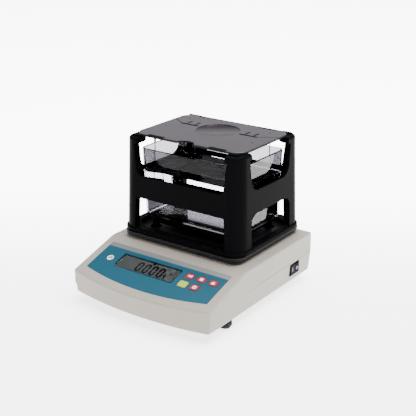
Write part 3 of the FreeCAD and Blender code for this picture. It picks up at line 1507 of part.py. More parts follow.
def foot_pad(index):
    x, y = FEET[index]
    owner = keep(body("foot_pad_" + FOOT_NAMES[index]))
    drawn = sketch(owner, "PadPlan")
    circles(drawn, [(x, y)], "pad_radius")
    disc = pad(owner, drawn, "pad_height")
    soften(owner, disc, "pad_height / 6", at_height("0"), "Chamfer")
    drawn = sketch(owner, "Socket", lift="pad_height")
    circles(drawn, [(x, y)], "stud_radius + turning_gap")
    pocket(owner, drawn, "pad_socket")
    return owner


# ---------------------------------------------------------------- switch and sockets
def switch_body():
    """A snap-in rocker switch case with its bezel, pin holes and three blades."""
    owner = keep(body("switch_body"))
    seat = "side_x - wall_seat"
    drawn = sketch(owner, "Bezel", "YZ_Plane", seat)
    rounded(drawn, "bezel_length", "bezel_height", "wall_seat - trim_gap", *SWITCH)
    bezel = pad(owner, drawn, "bezel_thickness")

    def face(shape, edge):
        box = edge.BoundBox
        level = value(seat + " + bezel_thickness")
        return abs(box.XMin - level) < 1e-4 and abs(box.XMax - level) < 1e-4

    soften(owner, bezel, "bezel_thickness / 2", face, "Chamfer")
    drawn = sketch(owner, "Case", "YZ_Plane", seat + " - switch_depth")
    centred(drawn, "switch_length", "switch_breadth", *SWITCH)
    pad(owner, drawn, "switch_depth + trim_gap")
    drawn = sketch(owner, "RockerRoom", "YZ_Plane", seat + " + 2 * bezel_thickness")
    wide, high = "rocker_length + 2 * rocker_play", "rocker_breadth + 2 * rocker_play"
    centred(drawn, wide, high, *SWITCH)
    pocket(owner, drawn, "2 * bezel_thickness + rocker_belly + 2 * rocker_play")
    drawn = sketch(owner, "PinHoles", lift=SWITCH[1])
    circles(drawn, [(seat + " - rocker_pivot", SWITCH[0])], "rocker_pin + spigot_fit")
    pocket(owner, drawn, "switch_breadth - rocker_play / 2", both=True)
    drawn = sketch(owner, "Blades", "YZ_Plane", seat + " - switch_depth + trim_gap")
    for way in (-1, 0, 1):
        blade_y = "rocker_y + (%d) * cell_hole" % way
        centred(drawn, "board_thickness / 2", "switch_breadth / 2", blade_y, SWITCH[1])
    pad(owner, drawn, "switch_height * 2", down=True)
    return owner


def rocker():
    """The see-saw cap on its pin, resting with its front end pressed in."""
    owner = keep(body("rocker"))
    turn = FreeCAD.Rotation(FreeCAD.Vector(0, 0, 1), value("-rocker_tilt"))
    owner.Placement = FreeCAD.Placement(FreeCAD.Vector(0, 0, 0), turn)
    owner.setExpression("Placement.Base.x", cells("side_x - wall_seat - rocker_pivot"))
    owner.setExpression("Placement.Base.y", cells("rocker_y"))
    owner.setExpression("Placement.Base.z", cells("ground_gap + rocker_up"))
    owner.setExpression("Placement.Rotation.Angle", cells("-rocker_tilt"))
    drawn = sketch(owner, "RockerSide")
    end, crest, dip = "rocker_length / 2", "rocker_pivot + rocker_rise", "rocker_pivot + rocker_dip"
    brow, keel = "(%s - rocker_play)" % end, "-(rocker_belly - rocker_pivot)"
    outline(
        drawn,
        [
            (dip, "0"),
            (crest, brow),
            ("rocker_pin", end),
            (keel, "rocker_length / 6"),
            (keel, "-(rocker_length / 6)"),
            ("rocker_pin", "-(%s)" % end),
            (crest, "-" + brow),
        ],
    )
    cap = pad(owner, drawn, "rocker_breadth", both=True)

    def brow_edge(shape, edge):
        middle = middle_of(edge)
        return along(edge, FreeCAD.Vector(0, 0, 1)) and middle.x > value(crest) - 1e-3

    soften(owner, cap, "rocker_play", brow_edge)
    drawn = sketch(owner, "RockerPin")
    circles(drawn, [("0", "0")], "rocker_pin")
    pad(owner, drawn, "switch_breadth - rocker_play", both=True)
    return owner


def dc_inlet():
    """The barrel socket: flange outside, threaded sleeve through the wall, centre pin."""
    owner = keep(body("dc_inlet"))
    seat = "wall_seat - rear_y"
    place = [("inlet_x", SOCKET_Z)]
    drawn = sketch(owner, "InletFlange", "XZ_Plane", seat)
    circles(drawn, place, "inlet_flange")
    pad(owner, drawn, "inlet_flange_height", down=True)
    drawn = sketch(owner, "InletSleeve", "XZ_Plane", seat + " + inlet_length")
    circles(drawn, place, "inlet_radius")
    pad(owner, drawn, "inlet_length + inlet_flange_height / 2", down=True)
    drawn = sketch(owner, "InletBore", "XZ_Plane", seat + " - inlet_flange_height")
    circles(drawn, place, "inlet_bore")
    circles(drawn, place, "inlet_pin")
    pocket(owner, drawn, "inlet_bore_depth")
    return owner


def serial_port():
    """The nine-way socket: mounting plate, slanted shell, and the pin block behind the wall."""
    owner = keep(body("serial_port"))
    seat = "wall_seat - rear_y"
    drawn = sketch(owner, "PortPlate", "XZ_Plane", seat)
    rounded(drawn, "port_flange_width", "port_flange_height", "port_slant", "port_x", SOCKET_Z)
    circles(drawn, PORT_SCREWS, "shank_radius")
    pad(owner, drawn, "port_flange_thickness", down=True)
    drawn = sketch(owner, "PortBlock", "XZ_Plane", seat + " + port_body_depth")
    d_outline(drawn, "port_shell")
    pad(owner, drawn, "port_body_depth + port_flange_thickness / 2", down=True)
    drawn = sketch(owner, "PortShell", "XZ_Plane", seat)
    d_outline(drawn, "0")
    d_outline(drawn, "-port_shell")
    pad(owner, drawn, "port_length", down=True)
    drawn = sketch(owner, "PortCore", "XZ_Plane", seat)
    d_outline(drawn, "-2 * port_shell")
    pad(owner, drawn, "port_length - port_shell", down=True)
    drawn = sketch(owner, "PortPins", "XZ_Plane", seat + " - port_length")
    pins = []
    for row, count in ((1, 5), (-1, 4)):
        for index in range(count):
            x = "port_x + (%s) * port_height / 3" % (index - (count - 1) / 2)
            pins.append((x, SOCKET_Z + " + (%d) * port_height / 6" % row))
    circles(drawn, pins, "port_shell")
    pocket(owner, drawn, "port_length")
    return owner


def port_screws():
    owner = keep(body("port_screws"))
    seat = "wall_seat - rear_y - port_flange_thickness"
    drawn = sketch(owner, "PortNuts", "XZ_Plane", seat)
    for x, z in PORT_SCREWS:
        hexagon(drawn, x, z, "port_nut_flats")
    pad(owner, drawn, "port_nut_height - inlet_flange_height / 2", down=True)
    drawn = sketch(owner, "PortShanks", "XZ_Plane", seat + " + 2 * wall")
    circles(drawn, PORT_SCREWS, "shank_radius - screw_fit")
    pad(owner, drawn, "2 * wall", down=True)
    return owner


# ---------------------------------------------------------------- assembly and files
def build():
    bottom_tub()
    top_cover()
    seat = "ground_gap + sink_depth"
    keep(screws("cover_screws", COVER_SCREWS, seat, "shank_radius", "screw_length",
                "head_radius", "head_height"))
    panel_overlay()
    display_window()
    display_module()
    display_board()
    display_screws()
    key_switches()
    level_vial()
    main_board()
    keep(screws("main_board_screws", MAIN_SCREWS, BOARD_Z + " + board_thickness", "shank_radius",
                "main_board_lift + board_thickness", "head_radius", "head_height", up=False))
    ribbon_cable()
    load_cell_block()
    load_cell()
    keep(screws("load_cell_screws", CELL_SCREWS, seat, "cell_screw_radius",
                "cell_z + cell_screw_depth - (%s)" % seat, "cell_screw_head", "cell_head_height"))
    overload_stop()
    foot_nuts()
    switch_body()
    dc_inlet()
    serial_port()
    port_screws()
    for index in range(len(KEYS)):
        key_cap(index)
    rocker()
    for index in range(len(FEET)):
        foot_screw(index)
        foot_pad(index)
    pan_support()
    keep(screws("support_screws", ARM_SCREWS, "cell_top + support_spacer + support_thickness",
                "cell_screw_radius", "cell_screw_depth + support_spacer + support_thickness",
                "cell_screw_head", "cell_head_height", up=False))
    pan_tray()
    measuring_frame()
    measuring_board()
    hanger_rods()
    basket()
    tank_stand()
    stand_pads()
    water_tank()


build()
doc.recompute()

for item in doc.Objects:
    if "Invalid" in item.State or "Error" in item.State:
        raise RuntimeError("%s could not be built: %s" % (item.Label, item.State))

os.makedirs("parts", exist_ok=True)
for node in NODES:
    shape = node.Shape
    if shape.isNull() or not shape.isValid():
        raise RuntimeError("%s has no sound shape" % node.Label)
    shape.exportStep("parts/%s.step" % node.Label)
    print("%-28s %3d solid(s) %9.1f mm3" % (node.Label, len(shape.Solids), shape.Volume))
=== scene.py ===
# %% [markdown]
# # Benchtop density meter
#
# An electronic balance with a sloped panel. Its pan carries a black frame, and the frame stands
# over a clear tank of water that rests on the housing. A board on the frame holds a basket
# down in the water, so the balance can weigh a sample in air and in water.
#
# The solids come from the mechanical model. This notebook adds the water, the reading, the key
# symbols, the bubble level and the switch marks, and gives every surface its finish.
# The camera, the floor and the lights are placed in metres. The sizes and places of pieces are
# in millimetres, and `MM` turns them into metres. `PAN_Y` says how far back the pan's axis is.

import math

import bpy
import numpy as np
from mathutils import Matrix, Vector


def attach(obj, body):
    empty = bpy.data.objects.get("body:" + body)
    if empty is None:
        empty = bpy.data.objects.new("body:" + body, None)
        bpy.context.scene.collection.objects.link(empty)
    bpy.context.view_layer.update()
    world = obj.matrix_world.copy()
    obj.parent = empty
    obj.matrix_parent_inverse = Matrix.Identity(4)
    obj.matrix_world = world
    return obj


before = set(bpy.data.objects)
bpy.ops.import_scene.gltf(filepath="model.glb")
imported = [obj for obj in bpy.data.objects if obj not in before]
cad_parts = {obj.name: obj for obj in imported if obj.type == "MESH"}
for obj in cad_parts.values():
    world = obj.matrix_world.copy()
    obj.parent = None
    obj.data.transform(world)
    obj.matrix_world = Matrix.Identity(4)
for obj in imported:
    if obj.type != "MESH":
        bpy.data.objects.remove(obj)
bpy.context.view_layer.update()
MM = 0.001
PAN_Y = 39.8

# %% [markdown]
# ## Camera
# The camera stands in front and to the right, a little above the board, and its target lies
# left of the middle, so that the instrument sits right of the centre of the picture.

# %%
TARGET = Vector((-0.0608, 0.1160, 0.0576))
AZIMUTH, ELEVATION, DISTANCE = math.radians(35.53), math.radians(20.49), 1.2211

camera_data = bpy.data.cameras.new("camera")
camera = bpy.data.objects.new("camera", camera_data)
bpy.context.collection.objects.link(camera)
back = Vector(
    (
        math.sin(AZIMUTH) * math.cos(ELEVATION),
        -math.cos(AZIMUTH) * math.cos(ELEVATION),
        math.sin(ELEVATION),
    )
)
camera.location = TARGET + DISTANCE * back
camera.rotation_euler = (-back).to_track_quat("-Z", "Y").to_euler()
camera_data.sensor_width = 36.0
camera_data.lens = 79.85
bpy.context.scene.camera = camera
print("camera at", [round(c, 3) for c in camera.location])

# %% [markdown]
# ## Wires and paints
# A `Paint` is one material. Every node goes in through its `node` method. What comes out is a
# `Wire`, and arithmetic on wires adds the maths nodes, so a formula in the code is the same
# formula in the material.

# %%
class Wire:
    """One value that travels through a material."""

    def __init__(self, paint, socket):
        self.paint = paint
        self.socket = socket

    def _math(self, kind, *terms):
        return self.paint.node("ShaderNodeMath", terms, operation=kind)

    def __add__(self, other):
        return self._math("ADD", self, other)

    def __radd__(self, other):
        return self._math("ADD", other, self)

    def __sub__(self, other):
        return self._math("SUBTRACT", self, other)

    def __rsub__(self, other):
        return self._math("SUBTRACT", other, self)

    def __mul__(self, other):
        return self._math("MULTIPLY", self, other)

    def __truediv__(self, other):
        return self._math("DIVIDE", self, other)

    def __pow__(self, other):
        return self._math("POWER", self, other)

    def __lt__(self, other):
        return self._math("LESS_THAN", self, other)

    def __gt__(self, other):
        return self._math("GREATER_THAN", self, other)

    def __abs__(self):
        return self._math("ABSOLUTE", self)

    def apply(self, kind):
        """A one-valued function of the wire, such as SINE or FRACT."""
        return self._math(kind, self)

    def least(self, other):
        return self._math("MINIMUM", self, other)

    def most(self, other):
        return self._math("MAXIMUM", self, other)

    def rise(self, low, high):
        """0 below low, 1 above high, and a smooth step between."""
        return self.paint.node(
            "ShaderNodeMapRange",
            {"Value": self, "From Min": low, "From Max": high},
            interpolation_type="SMOOTHSTEP",
        )


def shade(red, green, blue):
    """The linear colour of a screen colour given from 0 to 255."""
    screen = np.array([red, green, blue]) / 255.0
    linear = np.where(screen <= 0.04045, screen / 12.92, ((screen + 0.055) / 1.055) ** 2.4)
    return tuple(float(c) for c in linear)


class Paint:
    """A material under construction around one principled surface."""

    def __init__(self, name, **uniform):
        self.material = bpy.data.materials.new(name)
        self.material.use_nodes = True
        self.tree = self.material.node_tree
        self.surface = self.tree.nodes["Principled BSDF"]
        for words, amount in uniform.items():
            self.put(words.replace("_", " "), amount)

    def join(self, amount, socket):
        if isinstance(amount, Wire):
            self.tree.links.new(amount.socket, socket)
        elif isinstance(amount, tuple) and len(amount) == 3 and socket.type == "RGBA":
            socket.default_value = (*amount, 1.0)
        else:
            socket.default_value = amount

    def node(self, kind, inputs=(), output=0, **settings):
        """Adds a node, sets it, joins or fills its inputs, and returns one of its outputs."""
        made = self.tree.nodes.new(kind)
        for words, choice in settings.items():
            setattr(made, words, choice)
        pairs = inputs.items() if isinstance(inputs, dict) else enumerate(inputs)
        for key, amount in pairs:
            self.join(amount, made.inputs[key])
        return Wire(self, made.outputs[output])

    def put(self, words, amount):
        """Sets or joins one input of the surface."""
        self.join(amount, self.surface.inputs[words])

    def place(self):
        """The x, y and z of a point of the object, in metres."""
        spot = self.node("ShaderNodeTexCoord", output="Object")
        split = self.node("ShaderNodeSeparateXYZ", [spot])
        return [Wire(self, split.socket.node.outputs[axis]) for axis in range(3)]

    def noise(self, scale, detail=2.0, stretch=(1, 1, 1)):
        """Noise from 0 to 1 whose cells are about 1 / scale metres across."""
        spot = self.node("ShaderNodeTexCoord", output="Object")
        spot = self.node("ShaderNodeMapping", {"Vector": spot, "Scale": stretch})
        words = {"Vector": spot, "Scale": scale, "Detail": detail, "Roughness": 0.5}
        return self.node("ShaderNodeTexNoise", words)

    def blend(self, share, first, second):
        """The second colour where the share is 1, the first where it is 0."""
        words = {0: share, 6: first, 7: second}
        return self.node("ShaderNodeMix", words, output=2, data_type="RGBA")

    def blacken(self, share, colour):
        """Lays a matt dark surface over the first where the share is 1."""
        dull = {"Base Color": colour, "Roughness": 0.8, "Specular IOR Level": 0.1}
        second = self.node("ShaderNodeBsdfPrincipled", dull)
        first = Wire(self, self.surface.outputs[0])
        both = self.node("ShaderNodeMixShader", [share, first, second])
        self.join(both, self.tree.nodes["Material Output"].inputs["Surface"])

    def relief(self, height, depth):
        """A bump of the surface; height runs from 0 to 1 and stands for depth metres."""
        words = {"Height": height, "Distance": depth, "Strength": 1.0}
        self.put("Normal", self.node("ShaderNodeBump", words))


print("wires and paints ready")

# %% [markdown]
# ## Plastics
# Moulded plastic is never one flat colour: the texture of the mould breaks the shine up, and
# the shine itself changes slowly over a large face.

# %%
def moulded(name, colour, roughness, grain=1400.0, depth=0.00003, **uniform):
    """Moulded plastic: spark-eroded grain, slow changes of shine, and a trace of unevenness."""
    paint = Paint(name, **uniform)
    slow = paint.noise(45.0, 3.0)
    fine = paint.noise(grain)
    dark = tuple(c * 0.96 for c in colour)
    paint.put("Base Color", paint.blend(slow, colour, dark))
    paint.put("Roughness", roughness + (slow - 0.5) * 0.10 + (fine - 0.5) * 0.06)
    paint.relief(fine, depth)
    return paint


CASE_GREY = shade(131, 125, 116)
case_paint = moulded("case_abs", CASE_GREY, 0.5, depth=0.00004)
cover_paint = moulded("cover_abs", CASE_GREY, 0.5, depth=0.00004)
FINE = 0.00002
black_paint = moulded("black_abs", shade(5, 5, 6), 0.4, depth=FINE, Specular_IOR_Level=0.008)
tray_paint = moulded("tray_abs", shade(16, 17, 19), 0.42, depth=FINE, Specular_IOR_Level=0.08)
rubber_paint = moulded("rubber", shade(22, 22, 22), 0.75, grain=2500.0)
cable_paint = moulded("cable", shade(150, 150, 155), 0.45)
vial_paint = moulded("vial_case", shade(232, 232, 226), 0.3)
print(len(bpy.data.materials), "materials so far")

# %%
THREAD_PITCH, KNOB_TOP = 1.0, 8.45


def knob_plastic():
    """Black plastic with the fine thread of the stud above the knob."""
    paint = Paint("foot_plastic", Specular_IOR_Level=0.12)
    height = paint.place()[2]
    slow = paint.noise(60.0)
    paint.put("Base Color", paint.blend(slow, shade(12, 12, 14), shade(20, 20, 22)))
    thread = abs((height / (THREAD_PITCH * MM)).apply("FRACT") - 0.5) * 2.0
    above = height.rise(KNOB_TOP * MM, (KNOB_TOP + 0.15) * MM)
    paint.put("Roughness", 0.42 - above * 0.14)
    paint.relief(thread * above, 0.00045)
    return paint


foot_paint = knob_plastic()
print("foot paint ready")

# %% [markdown]
# ## Metals and circuit boards

# %%
def brushed(name, colour, roughness, stretch=(1, 12, 12)):
    """Metal with drawn lines along the direction that the stretch leaves at 1."""
    paint = Paint(name, Metallic=1.0)
    lines = paint.noise(700.0, 2.0, stretch)
    dark = tuple(c * 0.8 for c in colour)
    paint.put("Base Color", paint.blend(lines, colour, dark))
    paint.put("Roughness", roughness + (lines - 0.5) * 0.15)
    paint.relief(lines, 0.000008)
    return paint


steel_paint = brushed("steel", shade(196, 196, 198), 0.28)
# The hanger rods take a darker copy of the steel: painted shade that dims their reflections inside
# the tank.
shaded_rod_paint = brushed("shaded_rod_steel", shade(84, 84, 88), 0.3, (12, 12, 1))
alloy_paint = brushed("aluminium", shade(206, 208, 210), 0.36, (10, 1, 10))
brass_paint = brushed("brass", shade(205, 176, 100), 0.30)


LANES_ACROSS, LANES_ALONG = 1.6, 2.1


def soldered():
    """A circuit board: copper lanes under green lacquer."""
    paint = Paint("circuit_board", Coat_Weight=0.6, Coat_Roughness=0.1)
    x, y, _ = paint.place()
    across = (x / (LANES_ACROSS * MM)).apply("FRACT") < 0.45
    along = (y / (LANES_ALONG * MM)).apply("FRACT") < 0.3
    lane = across.most(along) * paint.noise(130.0, 0.0).rise(0.48, 0.52)
    paint.put("Base Color", paint.blend(lane, shade(24, 92, 52), shade(44, 128, 74)))
    paint.put("Roughness", 0.38 - lane * 0.1)
    paint.relief(lane, 0.00003)
    return paint


board_paint = soldered()
print(len(bpy.data.materials), "materials so far")

# %% [markdown]
# ## Clear parts and glass
# The tank is clear acrylic with a smoky tint. Its dry wall above the water is tinted much
# darker than the wetted wall below, as painted shade, and faint wipe marks vary its shine.

# %%
def clear(name, colour, index, marks=0.0, shine=1.0):
    """A clear solid or liquid; marks adds faint wipe marks, and shine dims its reflections."""
    paint = Paint(name, Transmission_Weight=1.0, IOR=index)
    paint.put("Specular Tint", (shine, shine, shine))
    paint.put("Base Color", colour)
    wiped = paint.noise(22.0, 4.0, (1, 1, 0.3))
    paint.put("Roughness", wiped.rise(0.5, 0.9) * marks)
    return paint


WATER_LEVEL = 142.2
WET_WALL, SHADED_DRY_WALL = (0.8, 0.79, 0.82), (0.19, 0.185, 0.205)
tank_paint = clear("clear_acrylic", WET_WALL, 1.49, marks=0.03, shine=0.02)
# Above the water line the wall's colour turns darker: painted shade on the dry wall.
dry_shade_mask = tank_paint.place()[2].rise((WATER_LEVEL + 0.5) * MM, (WATER_LEVEL + 1.5) * MM)
tank_paint.put("Base Color", tank_paint.blend(dry_shade_mask, WET_WALL, SHADED_DRY_WALL))
water_paint = clear("water", (0.93, 0.94, 0.98), 1.333, shine=0.15)
window_paint = clear("display_window", (0.80, 0.83, 0.84), 1.46, marks=0.01, shine=0.1)
lens_paint = clear("vial_glass", (0.97, 0.99, 0.96), 1.47)
print("clear paints ready")

# %% [markdown]
# ## The measuring board
# A dark glossy moulding. Its dish is a shallow bowl, which shows in how it bends the reflection,
# and its inside is darkened with painted shade.
# Slots, ticks, dashes and dimples get painted shade in matt black, drawn wider than the
# recesses, and two thin creases run from the slots to the edges as lines of painted shade.
# All of them are drawn from distances to short lines.

# %%
BOARD_TOP, PLAIN_EDGE = 189.0, 0.7
DISH_Y, DISH_RADIUS, DISH_DEPTH = PAN_Y + 11.3, 27.0, 3.3
# Each painted shade line is a start, an end and half its width; they repeat on the other
# side of the board.
SLOT_SHADE = ((31, 12.3), (53, 12.3), 2.0)
CREASE_SHADE = ((53, 12.3), (75, 26), 0.6)
TICK_SHADES = [((x, 16.5), (x, 24.5), 1.4) for x in (36, 48)]
DASH_SHADES = [((34, row), (53, row), 2.8) for row in (51.2, -51.6)]
DIMPLE_SHADES = [((x, row), (x + 0.01, row), 1.0) for x, row in ((62, -9.7), (58, 34.3))]
BOARD_SHADE_LINES = [SLOT_SHADE, CREASE_SHADE, *DASH_SHADES, *TICK_SHADES, *DIMPLE_SHADES]


def line_distance(x, y, start, end):
    """Distance in metres from the wires x, y to a segment whose ends are in millimetres."""
    ax, ay, bx, by = (c * MM for c in (*start, *end))
    run_x, run_y = bx - ax, by - ay
    share = ((x - ax) * run_x + (y - ay) * run_y) / (run_x**2 + run_y**2)
    share = share.most(0.0).least(1.0)
    off_x, off_y = x - ax - share * run_x, y - ay - share * run_y
    return (off_x * off_x + off_y * off_y) ** 0.5


def board_shade_distance(side, y):
    """Distance to the nearest painted shade line, less its half width, in metres."""
    nearest = None
    for start, end, half in BOARD_SHADE_LINES:
        ends = [(x, PAN_Y + row) for x, row in (start, end)]
        away = line_distance(side, y, *ends) - half * MM
        nearest = away if nearest is None else nearest.least(away)
    return nearest


def board_finish():
    """
    The board's paint: glossy, darker in the dish by painted shade, and matt black on the edge
    and in the painted shade over slots, ticks, dashes, dimples and creases.

    Inside the dish the surface sinks by depth * (1 - (r / R)^2), r being the distance from the
    dish's middle and R its radius. Only the top of the board's edge stays glossy.
    """
    paint = Paint("smoke_moulding", IOR=1.36, Specular_Tint=(1.0, 0.95, 1.0))
    x, y, z = paint.place()
    out = (x * x + (y - DISH_Y * MM) * (y - DISH_Y * MM)) / (DISH_RADIUS * MM) ** 2
    slow = paint.noise(30.0, 3.0)
    flat = paint.blend(slow, shade(37, 31, 38), shade(32, 27, 33))
    # The darker colour inside the dish is painted shade; the bowl itself is the relief below.
    paint.put("Base Color", paint.blend(out.rise(0.7, 1.0), shade(16, 13, 16), flat))
    paint.put("Roughness", 0.3 + (slow - 0.5) * 0.08)
    paint.relief(out.least(1.0), DISH_DEPTH * MM)
    # The matt black over slots, ticks, dashes and dimples is painted shade, wider than the
    # recesses, and the creases are painted shade lines.
    painted_shade = 1.0 - board_shade_distance(abs(x), y).rise(-0.0001, 0.0003)
    edge = (z < (BOARD_TOP - PLAIN_EDGE) * MM) * (out > 1.1)
    paint.blacken(painted_shade.most(edge), shade(8, 8, 9))
    return paint


board_top_paint = board_finish()
print("board paint ready")

# %% [markdown]
# ## The panel
# The panel is a flat face that leans back. `on_slope` turns a place on it into a place in the
# room: x runs across, s runs up the slope from its lower corners, n stands out of it.

# %%
LEAN = math.atan2(21.3, 70.0)
SLOPE_FOOT_Y, SLOPE_FOOT_Z = -102.8, 39.9


def on_slope(x, s, n):
    """The room's point, in metres, of a place on the panel given in millimetres."""
    x, s, n = np.broadcast_arrays(*np.atleast_1d(x, s, n))
    y = SLOPE_FOOT_Y + s * math.cos(LEAN) - n * math.sin(LEAN)
    z = SLOPE_FOOT_Z + s * math.sin(LEAN) + n * math.cos(LEAN)
    return np.stack([x, y, z], axis=-1) * MM


def up_slope(y, z):
    """The wire of s, in metres, from the wires of a point's y and z."""
    back, rise = y - SLOPE_FOOT_Y * MM, z - SLOPE_FOOT_Z * MM
    return back * math.cos(LEAN) + rise * math.sin(LEAN)


PANEL_WIDTH, BAND_FOOT = 173.0, 54.0


def overlay_print():
    """The overlay: a blue-green field, and a grey band at the top that pales to the right."""
    paint = Paint("panel_print", Specular_IOR_Level=0.2)
    x, y, z = paint.place()
    band = up_slope(y, z).rise(BAND_FOOT * MM, (BAND_FOOT + 0.3) * MM)
    fade = (x / (PANEL_WIDTH * MM) + 0.5).rise(0.0, 1.0)
    weave = paint.noise(2600.0, 1.0)
    teal = paint.blend(weave, shade(0, 61, 79), shade(0, 57, 73))
    grey = paint.blend(fade, shade(93, 93, 95), shade(103, 103, 102))
    paint.put("Base Color", paint.blend(band, teal, grey))
    paint.put("Roughness", 0.42 + (weave - 0.5) * 0.1)
    paint.relief(weave, 0.00001)
    return paint


panel_paint = overlay_print()
LCD_X, LCD_UP, LCD_WIDTH, LCD_HEIGHT = -14.5, 36.2, 85.0, 24.0
CELL_HALF_WIDTH, CELL_HALF_HEIGHT, CELL_MESH = 41.2, 10.7, 0.35


def paint_aperture_shade(paint):
    """Paints shade on the walls of the cover's display aperture, in matt black."""
    x, y, z = paint.place()
    across = abs(x - LCD_X * MM) < (LCD_WIDTH / 2 + 0.3) * MM
    along = abs(up_slope(y, z) - LCD_UP * MM) < (LCD_HEIGHT / 2 + 0.3) * MM
    # The black on the aperture's walls is painted shade of the recess.
    paint.blacken(across * along, shade(8, 9, 10))


paint_aperture_shade(cover_paint)


def display_glass():
    """The liquid-crystal cell: grey-green, with a painted reflection making it lighter up and to
    the right, in a dark frame.
    """
    paint = Paint("display_cell")
    x, y, z = paint.place()
    across, up = x - LCD_X * MM, up_slope(y, z)
    inner = CELL_HALF_WIDTH * MM - abs(across)
    inner = inner.least(CELL_HALF_HEIGHT * MM - abs(up - LCD_UP * MM))
    frame_share = 1.0 - inner.rise(0.0, 0.0003)
    columns, rows = [(wire / (CELL_MESH * MM)).apply("FRACT") for wire in (x, up)]
    mesh = columns.least(rows) < 0.12
    # Lighter up and to the right: a painted reflection of the window on the cell.
    reflected_cell = paint.blend(up.rise(0.024, 0.048), shade(54, 56, 55), shade(64, 65, 64))
    reflected_cell = paint.blend(across.rise(-0.05, 0.05), reflected_cell, shade(76, 75, 74))
    reflected_cell = paint.blend(mesh * 0.25, reflected_cell, shade(70, 78, 76))
    paint.put("Base Color", paint.blend(frame_share, reflected_cell, shade(46, 50, 52)))
    paint.put("Roughness", 0.35 + frame_share * 0.15)
    return paint


cell_paint = display_glass()


KEY_HALF_WIDTH, KEY_HALF_HEIGHT = 5.75, 4.8


def domed(name, middle, face, edge):
    """A printed key: one colour in the middle and a deeper one towards its edge."""
    paint = Paint(name, Coat_Weight=0.5, Coat_Roughness=0.15)
    x, y, z = paint.place()
    across = abs(x - middle[0] * MM) / (KEY_HALF_WIDTH * MM)
    along = abs(up_slope(y, z) - middle[1] * MM) / (KEY_HALF_HEIGHT * MM)
    paint.put("Base Color", paint.blend(across.most(along).rise(0.35, 0.75), face, edge))
    paint.put("Roughness", 0.3 + paint.noise(900.0) * 0.1)
    return paint


KEYS = {1: (41.7, 42.6), 2: (57.8, 42.6), 3: (73.9, 42.6), 4: (41.7, 28.4), 5: (57.8, 28.4)}
YELLOW_KEY = 4
key_paints = {}
for number, middle in KEYS.items():
    yellow = number == YELLOW_KEY
    face = shade(140, 154, 4) if yellow else shade(166, 46, 60)
    edge = shade(150, 166, 0) if yellow else shade(92, 2, 24)
    key_paints[number] = domed("key_face_%d" % number, middle, face, edge)
print(len(bpy.data.materials), "materials so far")

# %% [markdown]
# ## Finishes for the solids

# %%
FINISHES = {
    cover_paint: ("top_cover",),
    case_paint: ("bottom_tub",),
    panel_paint: ("panel_overlay",),
    window_paint: ("display_window",),
    cell_paint: ("display_module",),
    board_paint: ("display_board", "main_board"),
    steel_paint: (
        "cover_screws", "display_screws", "main_board_screws", "load_cell_screws", "overload_stop",
        "support_screws", "serial_port", "port_screws",
    ),
    shaded_rod_paint: ("hanger_rods",),
    alloy_paint: ("load_cell", "load_cell_block", "pan_support"),
    brass_paint: ("foot_nuts",),
    vial_paint: ("level_vial",),
    cable_paint: ("ribbon_cable",),
    black_paint: (
        "measuring_frame", "basket", "tank_stand", "key_switches", "switch_body", "dc_inlet",
    ),
    tray_paint: ("pan_tray",),
    board_top_paint: ("measuring_board",),
    tank_paint: ("water_tank",),
    rubber_paint: ("stand_pads",),
}
FEET = ("front_left", "back_left", "front_right", "back_right")
rocker_paint = moulded("rocker_grey", shade(16, 16, 22), 0.45, Specular_IOR_Level=0.03)


def finish_with(node, paint):
    """Puts a paint on a solid."""
    solid = bpy.data.objects[node]
    solid.data.materials.clear()
    solid.data.materials.append(paint.material)


for paint, nodes in FINISHES.items():
    for node in nodes:
        finish_with(node, paint)
for corner in FEET:
    finish_with("foot_screw_" + corner, foot_paint)
    finish_with("foot_pad_" + corner, rubber_paint)
for number, paint in key_paints.items():
    finish_with("key_%d" % number, paint)
finish_with("rocker", rocker_paint)

# %% [markdown]
# ## Helpers for added pieces
# Every added piece is a mesh at the origin that rides on one of the moving bodies.

# %%
def grid_faces(rows, columns, start=0):
    """Quads between neighbouring rows of points, each row a closed ring."""
    row, column = np.meshgrid(np.arange(rows - 1), np.arange(columns), indexing="ij")
    after = (column + 1) % columns
    corners = [row * columns + column, row * columns + after]
    corners += [(row + 1) * columns + after, (row + 1) * columns + column]
    return (np.stack(corners, axis=-1).reshape(-1, 4) + start).tolist()


def closed_faces(rows, columns):
    """The quads of a stack of rings, with a face over its first and its last ring."""
    faces = grid_faces(rows, columns)
    faces.append(list(reversed(range(columns))))
    faces.append([(rows - 1) * columns + i for i in range(columns)])
    return faces


def add_piece(name, points, faces, paint, body, smooth=False):
    """A mesh from points in metres, with its faces turned outwards, that rides on a body."""
    mesh = bpy.data.meshes.new(name)
    mesh.from_pydata(np.asarray(points).reshape(-1, 3).tolist(), [], faces)
    mesh.validate()
    mesh.polygons.foreach_set("use_smooth", [smooth] * len(mesh.polygons))
    mesh.materials.append(paint.material)
    made = bpy.data.objects.new(name, mesh)
    bpy.context.collection.objects.link(made)
    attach(made, body)


def slabs(shapes, low, high, spot):
    """
    Closed plates over flat outlines.

    Each shape is (outer ring, inner ring or None), arrays of (a, b) in millimetres that run
    anticlockwise. spot(a, b, height) gives the room's points.
    """
    points, faces = [], []
    for outer, inner in shapes:
        start, count = sum(len(p) for p in points), len(outer)
        if inner is None:
            rings = [(outer, low), (outer, high)]
            faces.append([start + i for i in reversed(range(count))])
            faces.append([start + count + i for i in range(count)])
        else:
            rings = [(outer, low), (outer, high), (inner, high), (inner, low), (outer, low)]
        for ring, height in rings:
            points.append(spot(ring[:, 0], ring[:, 1], height))
        faces += grid_faces(len(rings), count, start)
    return np.concatenate(points), faces


def bar(a, b, wide, high):
    """The outline of a rectangle about a point."""
    return np.array([(-1, -1), (1, -1), (1, 1), (-1, 1)]) * (wide / 2, high / 2) + (a, b), None


